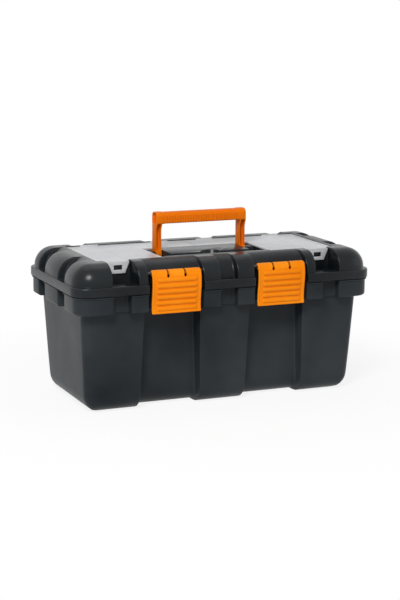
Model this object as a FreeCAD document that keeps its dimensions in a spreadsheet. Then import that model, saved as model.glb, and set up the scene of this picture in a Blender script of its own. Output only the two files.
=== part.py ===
import FreeCAD, Part
import os
import re
import Sketcher

# Carpenter's toolbox of moulded plastic, 20-inch size.
# Frame: millimetres, +Z up, X along the length, the latched front faces -Y.
# The origin is the middle of the flat base. The lid is shut and the carrying handle upright.

SIZES = [
    # Overall
    ("length", 500.0, "end to end over the lid's band"),
    ("depth", 245.6, "front to back over the lid's band"),
    ("seam_z", 186.0, "height of the lid's lower edge"),
    ("seam_gap", 0.3, "gap between the rim of the tub and the lid"),
    ("wall", 3.0, "wall of the tub and the lid"),
    ("run_gap", 0.3, "gap between plastic pieces that move past each other"),
    ("side_gap", 1.0, "gap beside a leg, a latch boss or a knuckle"),
    ("pin_gap", 0.05, "gap round a pin, on the radius"),
    # Tub
    ("shoulder_z", 157.0, "height of the step from the body to the skirt"),
    ("skirt_inset", 3.5, "skirt behind the lid's band"),
    ("shoulder_x", 14.0, "width of the step at the ends"),
    ("shoulder_y", 16.4, "width of the step at front and back"),
    ("tub_draft", 3.2, "slope of the body's walls, degrees"),
    ("body_corner", 15.0, "upright corners of the body"),
    ("bottom_round", 28.0, "rounding round the base"),
    ("skirt_corner", 25.5, "upright corners of the skirt"),
    ("skirt_round", 4.0, "rounding under the skirt"),
    ("bead_height", 3.0, "bead round the rim"),
    ("bead_proud", 2.0, "bead in front of the skirt"),
    ("bay_top", 91.0, "width of a bay below a latch, at its top"),
    ("bay_foot", 101.0, "width of a bay at the base"),
    ("bay_depth", 46.3, "bay, from the front of the lid's band to its back"),
    ("bay_floor_y", "=depth / 2 - bay_depth", "back of a bay, from the middle plane"),
    ("bay_round", 6.0, "rounding at the back of a bay"),
    # Lid
    ("band_height", 14.0, "band round the lid"),
    ("band_corner", 29.0, "upright corners of the band"),
    ("dome_inset", 4.0, "dome behind the band"),
    ("dome_height", 32.5, "dome above the band"),
    ("dome_corner", 32.0, "upright corners of the dome"),
    ("dome_round", 30.0, "rounding over the top of the dome"),
    # Grooves in the dome and slots in the skirt, in line
    ("groove_depth", 12.0, "depth of the grooves, slots and latch bays"),
    ("groove_width", 28.5, "grooves at front and back"),
    ("end_groove_width", 31.0, "grooves at the ends"),
    ("end_groove_front", 41.0, "front groove of each end, from the middle"),
    ("end_groove_back", 54.0, "back groove of each end, from the middle"),
    ("inner_groove_x", 51.0, "inner grooves at the back"),
    ("outer_groove_inset", 74.8, "outer grooves, from the ends of the band"),
    ("outer_groove_x", "=length / 2 - outer_groove_inset", "outer grooves"),
    # Latches
    ("latch_x", 88.0, "middle of each latch"),
    ("latch_width", 80.0, "latch plate"),
    ("latch_zone_width", 90.0, "recess that holds a latch"),
    ("latch_wall", 3.2, "latch plate's thickness"),
    ("latch_foot_z", 154.0, "lower edge of a latch"),
    ("latch_head", 5.5, "latch above its pin"),
    ("latch_pin_inset", 11.8, "latch pin, behind the front of the band"),
    ("latch_pin_y", "=depth / 2 - latch_pin_inset", "latch pin, from the middle plane"),
    ("latch_pin_z", 215.5, "latch pin's height"),
    ("latch_pin_r", 2.0, "latch pin's radius"),
    ("latch_boss_r", 4.6, "boss round the latch pin"),
    ("latch_crown", 12.7, "fullest part of the plate, in front of the pin"),
    ("catch_z", 166.0, "under side of the catch on the tub"),
    ("catch_height", 4.0, "catch, top to bottom"),
    ("catch_reach", 4.2, "catch in front of its wall"),
    ("catch_width", 40.0, "catch, side to side"),
    # Lid hinge
    ("hinge_x", 113.0, "middle of each lid hinge"),
    ("knuckle_r", 5.5, "knuckle's radius"),
    ("knuckle_length", 26.0, "lid's knuckle"),
    ("ear_length", 10.0, "each ear on the tub"),
    ("lid_pin_r", 1.5, "lid hinge pin's radius"),
    # Handle
    ("handle_half", 77.0, "half the length of the handle"),
    ("leg_width", 9.5, "handle's leg, side to side"),
    ("grip_depth", 21.0, "grip, front to back"),
    ("grip_height", 19.0, "grip, top to bottom"),
    ("grip_round", 7.5, "rounding over the grip"),
    ("leg_inset", 0.8, "leg behind the grip's faces"),
    ("handle_pin_y", 1.0, "handle pins, behind the middle plane"),
    ("handle_pin_z", 224.5, "handle pins' height"),
    ("handle_pin_r", 2.2, "handle pin's radius"),
    ("handle_rise", 67.0, "top of the handle above its pins"),
    ("web_depth", 7.0, "channel in each leg's front and back"),
    ("rim_web", 2.0, "flange beside the channel"),
    # Handle's recess in the lid
    ("recess_half", 91.0, "half the length of the recess"),
    ("recess_front", 67.5, "front of the recess"),
    ("recess_back", 15.0, "back of the recess"),
    ("recess_floor_z", 212.0, "floor of the recess"),
    ("table_z", 231.6, "table between the legs"),
    ("table_front", 45.5, "front of the table"),
    ("block_front", 9.0, "front of the pin blocks"),
    ("scoop_r", 16.5, "finger scoop in the table"),
    ("scoop_depth", 8.0, "depth of the finger scoop"),
    # Organisers
    ("cover_inset_x", 50.0, "seat of the covers, from the ends of the band"),
    ("cover_inset_y", 49.8, "seat of the covers, from the front of the band"),
    ("cover_half_x", "=length / 2 - cover_inset_x", "seat of the covers, half its length"),
    ("cover_half_y", "=depth / 2 - cover_inset_y", "seat of the covers, half its width"),
    ("cover_drop", 0.9, "covers below the top of the lid"),
    ("cover_wall", 2.5, "thickness of a cover"),
    ("ledge", 4.0, "ledge that a cover rests on"),
    ("well_floor_z", 203.0, "floor of the organisers"),
    ("rib", 3.0, "wall between the two organisers"),
    ("tab_inset", 30.8, "middle of a tab, from the end of the seat"),
    ("tab_x", "=cover_half_x - tab_inset", "middle of a cover's front tab"),
    ("tab_groove", 41.5, "groove that holds a tab"),
    ("tab_top", 36.0, "tab's width at its top"),
    ("tab_foot", 23.0, "tab's width at its lower edge"),
    ("tab_drop", 18.5, "tab, top to bottom"),
    ("tab_bridge", 6.0, "wall between the seat and a tab"),
    ("tab_wall_y", "=cover_half_y + tab_bridge", "wall behind a tab, from the middle plane"),
    ("window_width", 13.5, "window in a tab"),
    ("window_height", 7.5, "window in a tab"),
    ("window_drop", 6.0, "window below the cover"),
    ("lug_reach", 1.0, "lug behind the window"),
    ("cover_pin_behind", 2.8, "cover hinge pin behind the seat"),
    ("cover_pin_y", "=cover_half_y + cover_pin_behind", "cover hinge pin, from the middle plane"),
    ("cover_pin_r", 1.0, "cover hinge pin's radius"),
    ("cover_knuckle_r", 2.0, "cover's knuckle"),
    ("cover_knuckle", 30.0, "length of a cover's knuckle"),
    ("cover_knuckle_in", 40.0, "middle of a cover's inner knuckle"),
    ("cover_knuckle_inset", 40.0, "middle of the outer knuckle, from the end of the seat"),
    ("cover_knuckle_out", "=cover_half_x - cover_knuckle_inset", "middle of the outer knuckle"),
    ("cover_pin_in", 14.0, "inner end of a cover hinge pin"),
    ("cover_pin_inset", 14.0, "outer end of a cover hinge pin, from the end of the seat"),
    ("cover_pin_out", "=cover_half_x - cover_pin_inset", "outer end of a cover hinge pin"),
    ("rail_drop", 7.5, "solid rail round the cover hinge pin"),
    ("divider", 1.6, "thickness of a divider"),
    ("divider_gap", 0.4, "gap round a divider"),
    ("divider_front_y", 23.0, "front divider of an organiser"),
    ("divider_top", 5.0, "dividers below the top of the lid"),
    # Lift-out tray
    ("tray_wall", 2.2, "wall of the tray"),
    ("tray_gap", 0.8, "gap round the tray"),
    ("tray_height", 30.0, "tray, top to bottom"),
    ("tray_corner", 18.0, "upright corners of the tray"),
    ("tray_rib", 4.0, "grip along the middle of the tray"),
    ("grip_hole_length", 90.0, "hand hole in the grip, its length"),
    ("grip_hole_height", 16.0, "hand hole in the grip, its height"),
    ("tray_divider_x", 78.0, "dividers of the tray's front half"),
    ("tray_divider_rear_x", 62.0, "divider of the tray's rear half"),
    ("tray_divider_drop", 3.0, "dividers below the tray's rim"),
    ("past", 10.0, "how far a cut runs past a face"),
]

os.makedirs("parts", exist_ok=True)
doc = FreeCAD.newDocument("toolbox")
sheet = doc.addObject("Spreadsheet::Sheet", "dims")
for row, (alias, size, note) in enumerate(SIZES, 1):
    sheet.set(f"A{row}", note)
    sheet.set(f"B{row}", str(size))
    sheet.setAlias(f"B{row}", alias)
doc.recompute()
ALIASES = {alias for alias, size, note in SIZES}


# ---------- helpers: every size below is a formula of the sheet's names ----------

def on_sheet(formula):
    """Turn a formula of size names into one that reads the sheet."""
    def cell(match):
        word = match.group()
        return "dims." + word if word in ALIASES else word
    return re.sub(r"[a-z][a-z_]*", cell, str(formula))


def bind(thing, **formulas):
    """Bind properties to formulas; two underscores stand for a dot."""
    for name, formula in formulas.items():
        thing.setExpression(name.replace("__", "."), on_sheet(formula))
    return thing


def block(name, x, y, z):
    """A box between two formulas along each axis."""
    box = doc.addObject("Part::Box", name)
    bind(box, Length=f"({x[1]}) - ({x[0]})", Width=f"({y[1]}) - ({y[0]})",
         Height=f"({z[1]}) - ({z[0]})")
    return bind(box, Placement__Base__x=x[0], Placement__Base__y=y[0], Placement__Base__z=z[0])


TURNS = {
    "x": FreeCAD.Rotation(FreeCAD.Vector(0, 1, 0), 90),
    "y": FreeCAD.Rotation(FreeCAD.Vector(1, 0, 0), -90),
    "z": FreeCAD.Rotation(),
}


def rod(name, axis, start, end, across, radius):
    """A cylinder along an axis, from start to end; across gives its two other coordinates."""
    cylinder = doc.addObject("Part::Cylinder", name)
    cylinder.Placement = FreeCAD.Placement(FreeCAD.Vector(), TURNS[axis])
    places = {"x": (start, *across), "y": (across[0], start, across[1]), "z": (*across, start)}[axis]
    bind(cylinder, Radius=radius, Height=f"({end}) - ({start})")
    return bind(cylinder, Placement__Base__x=places[0], Placement__Base__y=places[1],
                Placement__Base__z=places[2])


def join(name, pieces):
    fusion = doc.addObject("Part::MultiFuse", name)
    fusion.Shapes = pieces
    return fusion


def cut(name, base, tools):
    """Base less one tool or a list of tools."""
    difference = doc.addObject("Part::Cut", name)
    difference.Base = base
    difference.Tool = tools[0] if len(tools) == 1 else join(name + "_tools", tools)
    return difference


def outline(body, name, role, offset, corners):
    """A closed sketch on one of the body's own planes; its corners are pairs of formulas."""
    sketch = body.newObject("Sketcher::SketchObject", name)
    plane = next(item for item in body.Origin.OriginFeatures if item.Role == role)
    sketch.AttachmentSupport = [(plane, "")]
    sketch.MapMode = "FlatFace"
    bind(sketch, AttachmentOffset__Base__z=offset)
    count = len(corners)
    turn = FreeCAD.Rotation(FreeCAD.Vector(0, 0, 1), 360 / count)
    starts = [FreeCAD.Vector(100, 0, 0)]
    for corner in range(count - 1):
        starts.append(turn.multVec(starts[-1]))
    for corner in range(count):
        sketch.addGeometry(Part.LineSegment(starts[corner], starts[(corner + 1) % count]), False)
    for corner in range(count):
        sketch.addConstraint(Sketcher.Constraint("Coincident", corner, 2, (corner + 1) % count, 1))
    for corner, (across, along) in enumerate(corners):
        for kind, formula in (("DistanceX", across), ("DistanceY", along)):
            number = sketch.addConstraint(Sketcher.Constraint(kind, -1, 1, corner, 1, 1.0))
            sketch.renameConstraint(number, f"{kind}{corner}")
            sketch.setExpression(f"Constraints.{kind}{corner}", on_sheet(formula))
    return sketch


def upright(edge):
    along = edge.Vertexes[-1].Point - edge.Vertexes[0].Point
    return abs(along.z) > 0.9 * along.Length > 0


def level_at(shape, top):
    """Picks the edges that lie in the shape's highest or lowest plane."""
    heights = [vertex.Z for vertex in shape.Vertexes]
    height = max(heights) if top else min(heights)

    def wanted(edge):
        return all(abs(vertex.Z - height) < 0.01 for vertex in edge.Vertexes)
    return wanted


def soften(body, feature, name, radius, wanted):
    """Round the feature's wanted edges."""
    numbers = [number for number, edge in enumerate(feature.Shape.Edges, 1) if wanted(edge)]
    fillet = body.newObject("PartDesign::Fillet", name)
    fillet.Base = (feature, [f"Edge{number}" for number in numbers])
    bind(fillet, Radius=radius)
    doc.recompute()
    return fillet


def rounded_block(name, half, base, height, corner, draft=None, top=None, bottom=None, corners_last=False):
    """A padded rectangle with rounded upright corners, and rounded over or under.
    With a draft it is padded down from its base height and narrows.
    Corners that are tighter than the rounding under them are rounded last."""
    body = doc.addObject("PartDesign::Body", name)
    wide, deep = half
    corners = [(f"-({wide})", f"-({deep})"), (wide, f"-({deep})"), (wide, deep), (f"-({wide})", deep)]
    sketch = outline(body, name + "_plan", "XY_Plane", base, corners)
    pad = body.newObject("PartDesign::Pad", name + "_pad")
    pad.Profile = sketch
    bind(pad, Length=height)
    if draft:
        pad.Reversed = True
        bind(pad, TaperAngle=draft)
    doc.recompute()
    last = pad if corners_last else soften(body, pad, name + "_corners", corner, upright)
    if bottom:
        last = soften(body, last, name + "_under", bottom, level_at(last.Shape, False))
    if top:
        last = soften(body, last, name + "_over", top, level_at(last.Shape, True))
    if corners_last:
        soften(body, last, name + "_corners", corner, upright)
    return body


def profile(name, role, offset, length, corners):
    """A padded outline."""
    body = doc.addObject("PartDesign::Body", name)
    sketch = outline(body, name + "_side", role, offset, corners)
    pad = body.newObject("PartDesign::Pad", name + "_pad")
    pad.Profile = sketch
    bind(pad, Length=length)
    doc.recompute()
    return body, pad


# ---------- shared places, as formulas ----------

BAND_X = "(length / 2)"
BAND_Y = "(depth / 2)"
SKIRT_X = f"({BAND_X} - skirt_inset)"
SKIRT_Y = f"({BAND_Y} - skirt_inset)"
BODY_X = f"({SKIRT_X} - shoulder_x)"
BODY_Y = f"({SKIRT_Y} - shoulder_y)"
DOME_X = f"({BAND_X} - dome_inset)"
DOME_Y = f"({BAND_Y} - dome_inset)"
RIM_Z = "(seam_z - seam_gap)"
BAND_TOP = "(seam_z + band_height)"
LID_TOP = f"({BAND_TOP} + dome_height)"
SLOT_Y = f"({SKIRT_Y} - groove_depth)"
HINGE_Y = f"({BAND_Y} + run_gap + knuckle_r)"
HINGE_Z = "seam_z"
SIDES = (("left", -1), ("right", 1))

# The grooves: which face they are in, where along it, and how wide.
END_GROOVES = ("-end_groove_front", "end_groove_back")
GROOVES = [("front", "0", "groove_width")]
GROOVES += [("back", place, "groove_width") for place in ("-outer_groove_x", "-inner_groove_x")]
GROOVES += [("back", place, "groove_width") for place in ("inner_groove_x", "outer_groove_x")]
GROOVES += [(face, place, "end_groove_width") for face in ("left", "right") for place in END_GROOVES]
FRONT_SLOTS = [("front", place, "groove_width") for place in ("-outer_groove_x", "outer_groove_x")]
LATCH_ZONES = [("front", f"{sign} * latch_x", "latch_zone_width") for side, sign in SIDES]


def span(place, width, grow):
    """Start and end of a width centred on a place, grown at both ends."""
    return (f"{place} - ({width}) / 2 - ({grow})", f"{place} + ({width}) / 2 + ({grow})")


def on_face(name, face, along, inner, z):
    """A block in one face of the box, from its inner depth out past the face."""
    half = SKIRT_X if face in ("left", "right") else SKIRT_Y
    outward = f"{half} + 2 * past"
    across = (inner, outward) if face in ("back", "right") else (f"-({outward})", f"-({inner})")
    if face in ("left", "right"):
        return block(name, across, along, z)
    return block(name, along, across, z)


# ---------- tub: body, skirt and rim, hollow inside ----------

def tub_cuts(grow):
    """Bays under the latches, the latch zones and the slots; grown by the wall for the inside."""
    tag = "in" if grow != "0" else "out"
    tools = []
    for side, sign in SIDES:
        half_top = f"(bay_top / 2 + {grow})"
        half_foot = f"(bay_foot / 2 + {grow})"
        middle = f"{sign} * latch_x"
        top = f"shoulder_z + {grow}"
        corners = [(f"{middle} - {half_foot}", "-past"), (f"{middle} + {half_foot}", "-past"),
                   (f"{middle} + {half_top}", top), (f"{middle} - {half_top}", top)]
        name = f"bay_{side}_{tag}"
        body, pad = profile(name, "XZ_Plane", f"bay_floor_y - {grow}", "depth / 2", corners)
        deepest = max(vertex.Y for vertex in pad.Shape.Vertexes)

        def at_back(edge):
            sloping = abs(edge.Vertexes[-1].Z - edge.Vertexes[0].Z) > 1
            return sloping and all(abs(vertex.Y - deepest) < 0.01 for vertex in edge.Vertexes)
        soften(body, pad, name + "_round", f"bay_round + {grow}", at_back)
        tools.append(body)
    for number, (face, place, width) in enumerate(LATCH_ZONES + GROOVES + FRONT_SLOTS):
        half = SKIRT_X if face in ("left", "right") else SKIRT_Y
        inner = f"{half} - groove_depth - {grow}"
        height = ("shoulder_z - past", "seam_z + past")
        tools.append(on_face(f"slot_{number}_{tag}", face, span(place, width, grow), inner, height))
    return tools


def tub():
    body = rounded_block("tub_body", (BODY_X, BODY_Y), "shoulder_z", "shoulder_z", "body_corner",
                         draft="-tub_draft", bottom="bottom_round", corners_last=True)
    skirt = rounded_block("tub_skirt", (SKIRT_X, SKIRT_Y), "shoulder_z", f"{RIM_Z} - shoulder_z",
                          "skirt_corner", bottom="skirt_round")
    bead_half = (f"{SKIRT_X} + bead_proud", f"{SKIRT_Y} + bead_proud")
    bead = rounded_block("tub_bead", bead_half, f"{RIM_Z} - bead_height", "bead_height",
                         "skirt_corner + bead_proud")
    outer = cut("tub_outer", join("tub_blank", [body, skirt, bead]), tub_cuts("0"))

    hollow = rounded_block("tub_hollow_low", (f"{BODY_X} - wall", f"{BODY_Y} - wall"), "shoulder_z + wall",
                           "shoulder_z", "body_corner - wall", draft="-tub_draft",
                           bottom="bottom_round - wall", corners_last=True)
    hollow_skirt = rounded_block("tub_hollow_top", (f"{SKIRT_X} - wall", f"{SKIRT_Y} - wall"),
                                 "shoulder_z + wall", "seam_z + past - shoulder_z - wall",
                                 "skirt_corner - wall")
    inner = cut("tub_inner", join("tub_inner_blank", [hollow, hollow_skirt]), tub_cuts("wall"))
    shell = cut("tub_shell", outer, [inner])

    additions = [shell]
    for side, sign in SIDES:
        middle = f"{sign} * latch_x"
        additions.append(block(f"catch_{side}", span(middle, "catch_width", "0"),
                               (f"-{SLOT_Y} - catch_reach", f"-{SLOT_Y} + wall / 2"),
                               ("catch_z", "catch_z + catch_height")))
        additions.extend(hinge_ear(side, sign, end) for end in (-1, 1))
    solid = join("tub_solid", additions)
    bores = [rod(f"tub_bore_{side}", "x", f"{sign} * hinge_x - knuckle_length",
                 f"{sign} * hinge_x + knuckle_length", (HINGE_Y, HINGE_Z), "lid_pin_r + pin_gap")
             for side, sign in SIDES]
    return cut("tub", solid, bores)


def hinge_ear(side, sign, end):
    """One ear of a lid hinge: a round end on an arm from the skirt."""
    start = f"{sign} * hinge_x + {end} * (knuckle_length / 2 + side_gap / 2)"
    far = f"{start} + {end} * ear_length"
    along = (start, far) if end > 0 else (far, start)
    name = f"ear_{side}_{'out' if end > 0 else 'in'}"
    arm = block(name + "_arm", along, (f"{SKIRT_Y} - wall / 2", HINGE_Y), (f"{HINGE_Z} - knuckle_r", RIM_Z))
    return join(name, [arm, rod(name + "_eye", "x", *along, (HINGE_Y, HINGE_Z), "knuckle_r")])


# ---------- lid: band, dome, organisers and the handle's recess ----------

def crescent(name, face, place, width, grow):
    """A groove in the dome that runs out towards the top: a block less a big cylinder."""
    ends = face in ("left", "right")
    half = DOME_X if ends else DOME_Y
    centre = f"({half} - groove_depth - dome_height)"
    along = span(place, width, grow)
    z = (f"{BAND_TOP} - {grow}", f"{LID_TOP} + past")
    raw = on_face(name + "_raw", face, along, centre, z)
    signed = centre if face in ("back", "right") else f"-{centre}"
    long = (f"{along[0]} - past", f"{along[1]} + past")
    across = (signed, BAND_TOP)
    core = rod(name + "_core", "y" if ends else "x", *long, across, f"dome_height - {grow}")
    return cut(name, raw, [core])


def lid_cuts(grow):
    """Every hollow in the lid's outside; grown by the wall for the underside."""
    tag = "in" if grow != "0" else "out"
    tools = []
    for number, (face, place, width) in enumerate(LATCH_ZONES + GROOVES):
        tools.append(crescent(f"crescent_{number}_{tag}", face, place, width, grow))
    above = f"{LID_TOP} + past"
    for number, (face, place, width) in enumerate(LATCH_ZONES):
        tools.append(on_face(f"band_gap_{number}_{tag}", face, span(place, width, grow),
                             f"{DOME_Y} - groove_depth - {grow}", ("seam_z - past", f"{BAND_TOP} + 1")))
    cover_z = f"{COVER_SEAT_Z} - {grow}"
    tools.append(block(f"seat_{tag}", span("0", "2 * cover_half_x", grow),
                       span("0", "2 * cover_half_y", grow), (cover_z, above)))
    for side, sign in SIDES:
        middle = f"{sign} * tab_x"
        tools.append(on_face(f"tab_groove_{side}_{tag}", "front", span(middle, "tab_groove", grow),
                             f"tab_wall_y - {grow}", (f"{BAND_TOP} - {grow}", above)))
        tools.append(block(f"tab_bridge_{side}_{tag}", span(middle, "tab_top + 2 * side_gap", grow),
                           ("-tab_wall_y - 1", "-cover_half_y + 1"), (cover_z, above)))
        near = f"rib / 2 - {grow}"
        side_x = f"recess_half + ledge - {grow}"
        far = f"cover_half_x - ledge + {grow}"
        deep = f"cover_half_y - ledge + {grow}"
        z = (f"well_floor_z - {grow}", above)
        main = (side_x, far) if sign > 0 else (f"-({far})", f"-({side_x})")
        rear = (near, f"{side_x} + 1 + 2 * {grow}")
        rear = rear if sign > 0 else (f"-({rear[1]})", f"-({rear[0]})")
        tools.append(block(f"well_{side}_{tag}", main, (f"-({deep})", deep), z))
        tools.append(block(f"well_rear_{side}_{tag}", rear, (f"recess_back + ledge - {grow}", deep), z))
    tools.append(handle_recess(tag, grow))
    return tools


COVER_SEAT_Z = f"({LID_TOP} - cover_drop - cover_wall - run_gap)"
TABLE_HALF = "(handle_half - leg_width - side_gap)"
BLOCK_HALF = "(handle_half + side_gap)"


def handle_recess(tag, grow):
    """The recess that the handle folds into, less its table and its two pin blocks."""
    raw = block(f"recess_{tag}_raw", span("0", "2 * recess_half", grow),
                (f"-recess_front - {grow}", f"recess_back + {grow}"),
                (f"recess_floor_z - {grow}", f"{LID_TOP} + past"))
    below = f"recess_floor_z - {grow} - 1"
    kept = [block(f"table_{tag}", (f"-{TABLE_HALF} + {grow}", f"{TABLE_HALF} - {grow}"),
                  (f"-table_front + {grow}", "recess_back + past"), (below, f"table_z - {grow}"))]
    if grow == "0":
        for side, sign in SIDES:
            x = (BLOCK_HALF, "recess_half + 1") if sign > 0 else ("-recess_half - 1", f"-{BLOCK_HALF}")
            y = ("-block_front", "recess_back + 1")
            kept.append(block(f"pin_block_{side}", x, y, (below, COVER_SEAT_Z)))
    return cut(f"recess_{tag}", raw, kept)


COVER_PIN_Z = f"({LID_TOP} - cover_drop - cover_wall / 2)"


def knuckle_places(sign):
    """Middles of a cover's two knuckles."""
    return [f"{sign} * cover_knuckle_in", f"{sign} * cover_knuckle_out"]


def lid():
    band = rounded_block("lid_band", (BAND_X, BAND_Y), "seam_z", "band_height", "band_corner")
    dome = rounded_block("lid_dome", (DOME_X, DOME_Y), BAND_TOP, "dome_height", "dome_corner",
                         top="dome_round")
    hollow_band = rounded_block("lid_hollow_band", (f"{BAND_X} - wall", f"{BAND_Y} - wall"),
                                "seam_z - past", "band_height + past - wall", "band_corner - wall")
    hollow_dome = rounded_block("lid_hollow_dome", (f"{DOME_X} - wall", f"{DOME_Y} - wall"),
                                f"{BAND_TOP} - wall", "dome_height", "dome_corner - wall",
                                top="dome_round - wall")
    rail = block("cover_rail", ("-cover_half_x", "cover_half_x"),
                 ("cover_half_y", "cover_half_y + rail_drop"),
                 (f"{LID_TOP} - rail_drop", f"{LID_TOP} + past"))
    hollow_blank = join("lid_hollow_blank", [hollow_band, hollow_dome])
    hollow = cut("lid_hollow", hollow_blank, lid_cuts("wall") + [rail])
    shell = cut("lid_shell", join("lid_blank", [band, dome]), lid_cuts("0") + [hollow])

    additions = [shell]
    additions.append(block("table_top", (f"-{TABLE_HALF}", TABLE_HALF), ("-table_front", "recess_back"),
                           (f"{COVER_SEAT_Z} - 1", "table_z")))
    additions.append(block("recess_rim", ("-recess_half", "recess_half"),
                           ("-cover_half_y - 1", "-recess_front"), (f"{COVER_SEAT_Z} - 1", LID_TOP)))
    cup_half = "(scoop_r + wall)"
    cup_foot = "table_z - scoop_depth - wall"
    cup = rod("scoop_cup_raw", "z", cup_foot, "table_z", ("0", "-table_front"), cup_half)
    ahead = block("scoop_cup_front", span("0", f"2 * {cup_half} + 2", "0"),
                  (f"-table_front - {cup_half} - 1", "-table_front"), (f"{cup_foot} - 1", "table_z + 1"))
    additions.append(cut("scoop_cup", cup, [ahead]))
    for side, sign in SIDES:
        knuckle = span(f"{sign} * hinge_x", "knuckle_length", "0")
        additions.append(block(f"lid_arm_{side}", knuckle, (f"{BAND_Y} - wall / 2", HINGE_Y),
                               (HINGE_Z, f"{HINGE_Z} + knuckle_r")))
        additions.append(rod(f"lid_knuckle_{side}", "x", *knuckle, (HINGE_Y, HINGE_Z), "knuckle_r"))
        window = f"{LID_TOP} - cover_drop - cover_wall - window_drop"
        additions.append(block(f"lug_{side}", span(f"{sign} * tab_x", "window_width - 2 * side_gap", "0"),
                               ("-tab_wall_y - lug_reach", "-tab_wall_y + wall / 2"),
                               (f"{window} - window_height + side_gap", f"{window} - side_gap")))
    solid = join("lid_solid", additions)

    bores = []
    for side, sign in SIDES:
        lid_bore = span(f"{sign} * hinge_x", "knuckle_length", "past")
        bores.append(rod(f"lid_bore_{side}", "x", *lid_bore, (HINGE_Y, HINGE_Z), "lid_pin_r + pin_gap"))
        latch_bore = span(f"{sign} * latch_x", "latch_zone_width", "wall + 1")
        bores.append(rod(f"latch_bore_{side}", "x", *latch_bore, ("-latch_pin_y", "latch_pin_z"),
                         "latch_pin_r + pin_gap"))
        x = handle_pin_span(sign, "pin_gap")
        bores.append(rod(f"handle_bore_{side}", "x", *x, ("handle_pin_y", "handle_pin_z"),
                         "handle_pin_r + pin_gap"))
        x = ("cover_pin_in", "cover_pin_out") if sign > 0 else ("-cover_pin_out", "-cover_pin_in")
        bores.append(rod(f"cover_bore_{side}", "x", *x, ("cover_pin_y", COVER_PIN_Z),
                         "cover_pin_r + pin_gap"))
        for number, place in enumerate(knuckle_places(sign)):
            bores.append(block(f"notch_{side}_{number}", span(place, "cover_knuckle + side_gap", "0"),
                               ("cover_half_y - 1", "cover_pin_y + cover_knuckle_r + run_gap"),
                               (f"{COVER_PIN_Z} - cover_knuckle_r - run_gap", f"{LID_TOP} + past")))
    bores.append(rod("finger_scoop", "z", "table_z - scoop_depth", "table_z + past", ("0", "-table_front"),
                     "scoop_r"))
    return cut("lid", solid, bores)


# ---------- carrying handle and its two pins ----------

def handle_pin_span(sign, gap):
    """A pin runs from inside the table's wall to inside the pin block."""
    near = f"({TABLE_HALF} - wall - {gap})"
    far = f"({BLOCK_HALF} + 2 * wall + {gap})"
    return (near, far) if sign > 0 else (f"-{far}", f"-{near}")


def handle():
    body = doc.addObject("PartDesign::Body", "grip")
    low = "handle_pin_z + handle_rise - grip_height"
    high = "handle_pin_z + handle_rise"
    front = "handle_pin_y - grip_depth / 2"
    back = "handle_pin_y + grip_depth / 2"
    sketch = outline(body, "grip_section", "YZ_Plane", "-handle_half",
                     [(front, low), (back, low), (back, high), (front, high)])
    pad = body.newObject("PartDesign::Pad", "grip_pad")
    pad.Profile = sketch
    bind(pad, Length="2 * handle_half")
    doc.recompute()
    soften(body, pad, "grip_top", "grip_round", level_at(pad.Shape, True))
    pieces = [body]
    channels = []
    leg_half = "(grip_depth / 2 - leg_inset)"
    for side, sign in SIDES:
        x = ("handle_half - leg_width", "handle_half")
        x = x if sign > 0 else ("-handle_half", "leg_width - handle_half")
        pieces.append(block(f"leg_{side}", x, span("handle_pin_y", f"2 * {leg_half}", "0"),
                            ("handle_pin_z", f"{low} + 1")))
        pieces.append(rod(f"leg_end_{side}", "x", *x, ("handle_pin_y", "handle_pin_z"), leg_half))
        channel_x = (f"{x[0]} + rim_web", f"{x[1]} - rim_web")
        z = ("handle_pin_z + grip_depth / 2", f"{low} - 2 * rim_web")
        channels.append(block(f"channel_front_{side}", channel_x,
                              (f"{front} - 1", f"{front} + leg_inset + web_depth"), z))
        channels.append(block(f"channel_back_{side}", channel_x,
                              (f"{back} - leg_inset - web_depth", f"{back} + 1"), z))
        channels.append(rod(f"leg_bore_{side}", "x", f"{x[0]} - 1", f"{x[1]} + 1",
                            ("handle_pin_y", "handle_pin_z"), "handle_pin_r + pin_gap"))
    return cut("handle", join("handle_solid", pieces), channels)


def handle_pin(side, sign):
    return rod(f"handle_pin_{side}", "x", *handle_pin_span(sign, "0"), ("handle_pin_y", "handle_pin_z"),
               "handle_pin_r")


# ---------- latches and their pins ----------

def latch(side, sign):
    """A bowed plate that hangs from its pin; its hook stops just short of the catch."""
    pin_y = "-latch_pin_y"
    top = "latch_pin_z + latch_head"
    face = f"{pin_y} - latch_crown"
    foot = "latch_foot_z"
    front = [(f"{pin_y} - latch_boss_r", top), (f"{face} + 3", "latch_pin_z"), (face, f"{top} - 14"),
             (face, f"{top} - 25"), (f"{face} + 3.5", f"{foot} + 18"), (f"{face} + 4", f"{foot} + 8"),
             (f"{face} + 2.5", foot)]
    back = [(f"{across} + latch_wall", height) for across, height in reversed(front[1:])]
    plate, pad = profile(f"plate_{side}", "YZ_Plane", f"{sign} * latch_x - latch_width / 2", "latch_width",
                         front + back + [(f"{pin_y}", top)])
    x = span(f"{sign} * latch_x", "latch_width", "0")
    boss = rod(f"latch_boss_{side}", "x", *x, (pin_y, "latch_pin_z"), "latch_boss_r")
    hook = block(f"hook_{side}", span(f"{sign} * latch_x", "catch_width", "0"),
                 (f"{face} + 3.5 + latch_wall / 2", f"-{SLOT_Y} - catch_reach - run_gap"),
                 ("catch_z - run_gap - catch_height", "catch_z - run_gap"))
    bore = rod(f"boss_bore_{side}", "x", f"{x[0]} - 1", f"{x[1]} + 1", (pin_y, "latch_pin_z"),
               "latch_pin_r + pin_gap")
    return cut(f"latch_{side}", join(f"latch_solid_{side}", [plate, boss, hook]), [bore])


def latch_pin(side, sign):
    x = span(f"{sign} * latch_x", "latch_zone_width", "wall - run_gap")
    return rod(f"latch_pin_{side}", "x", *x, ("-latch_pin_y", "latch_pin_z"), "latch_pin_r")


# ---------- lid hinge pins ----------

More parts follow.
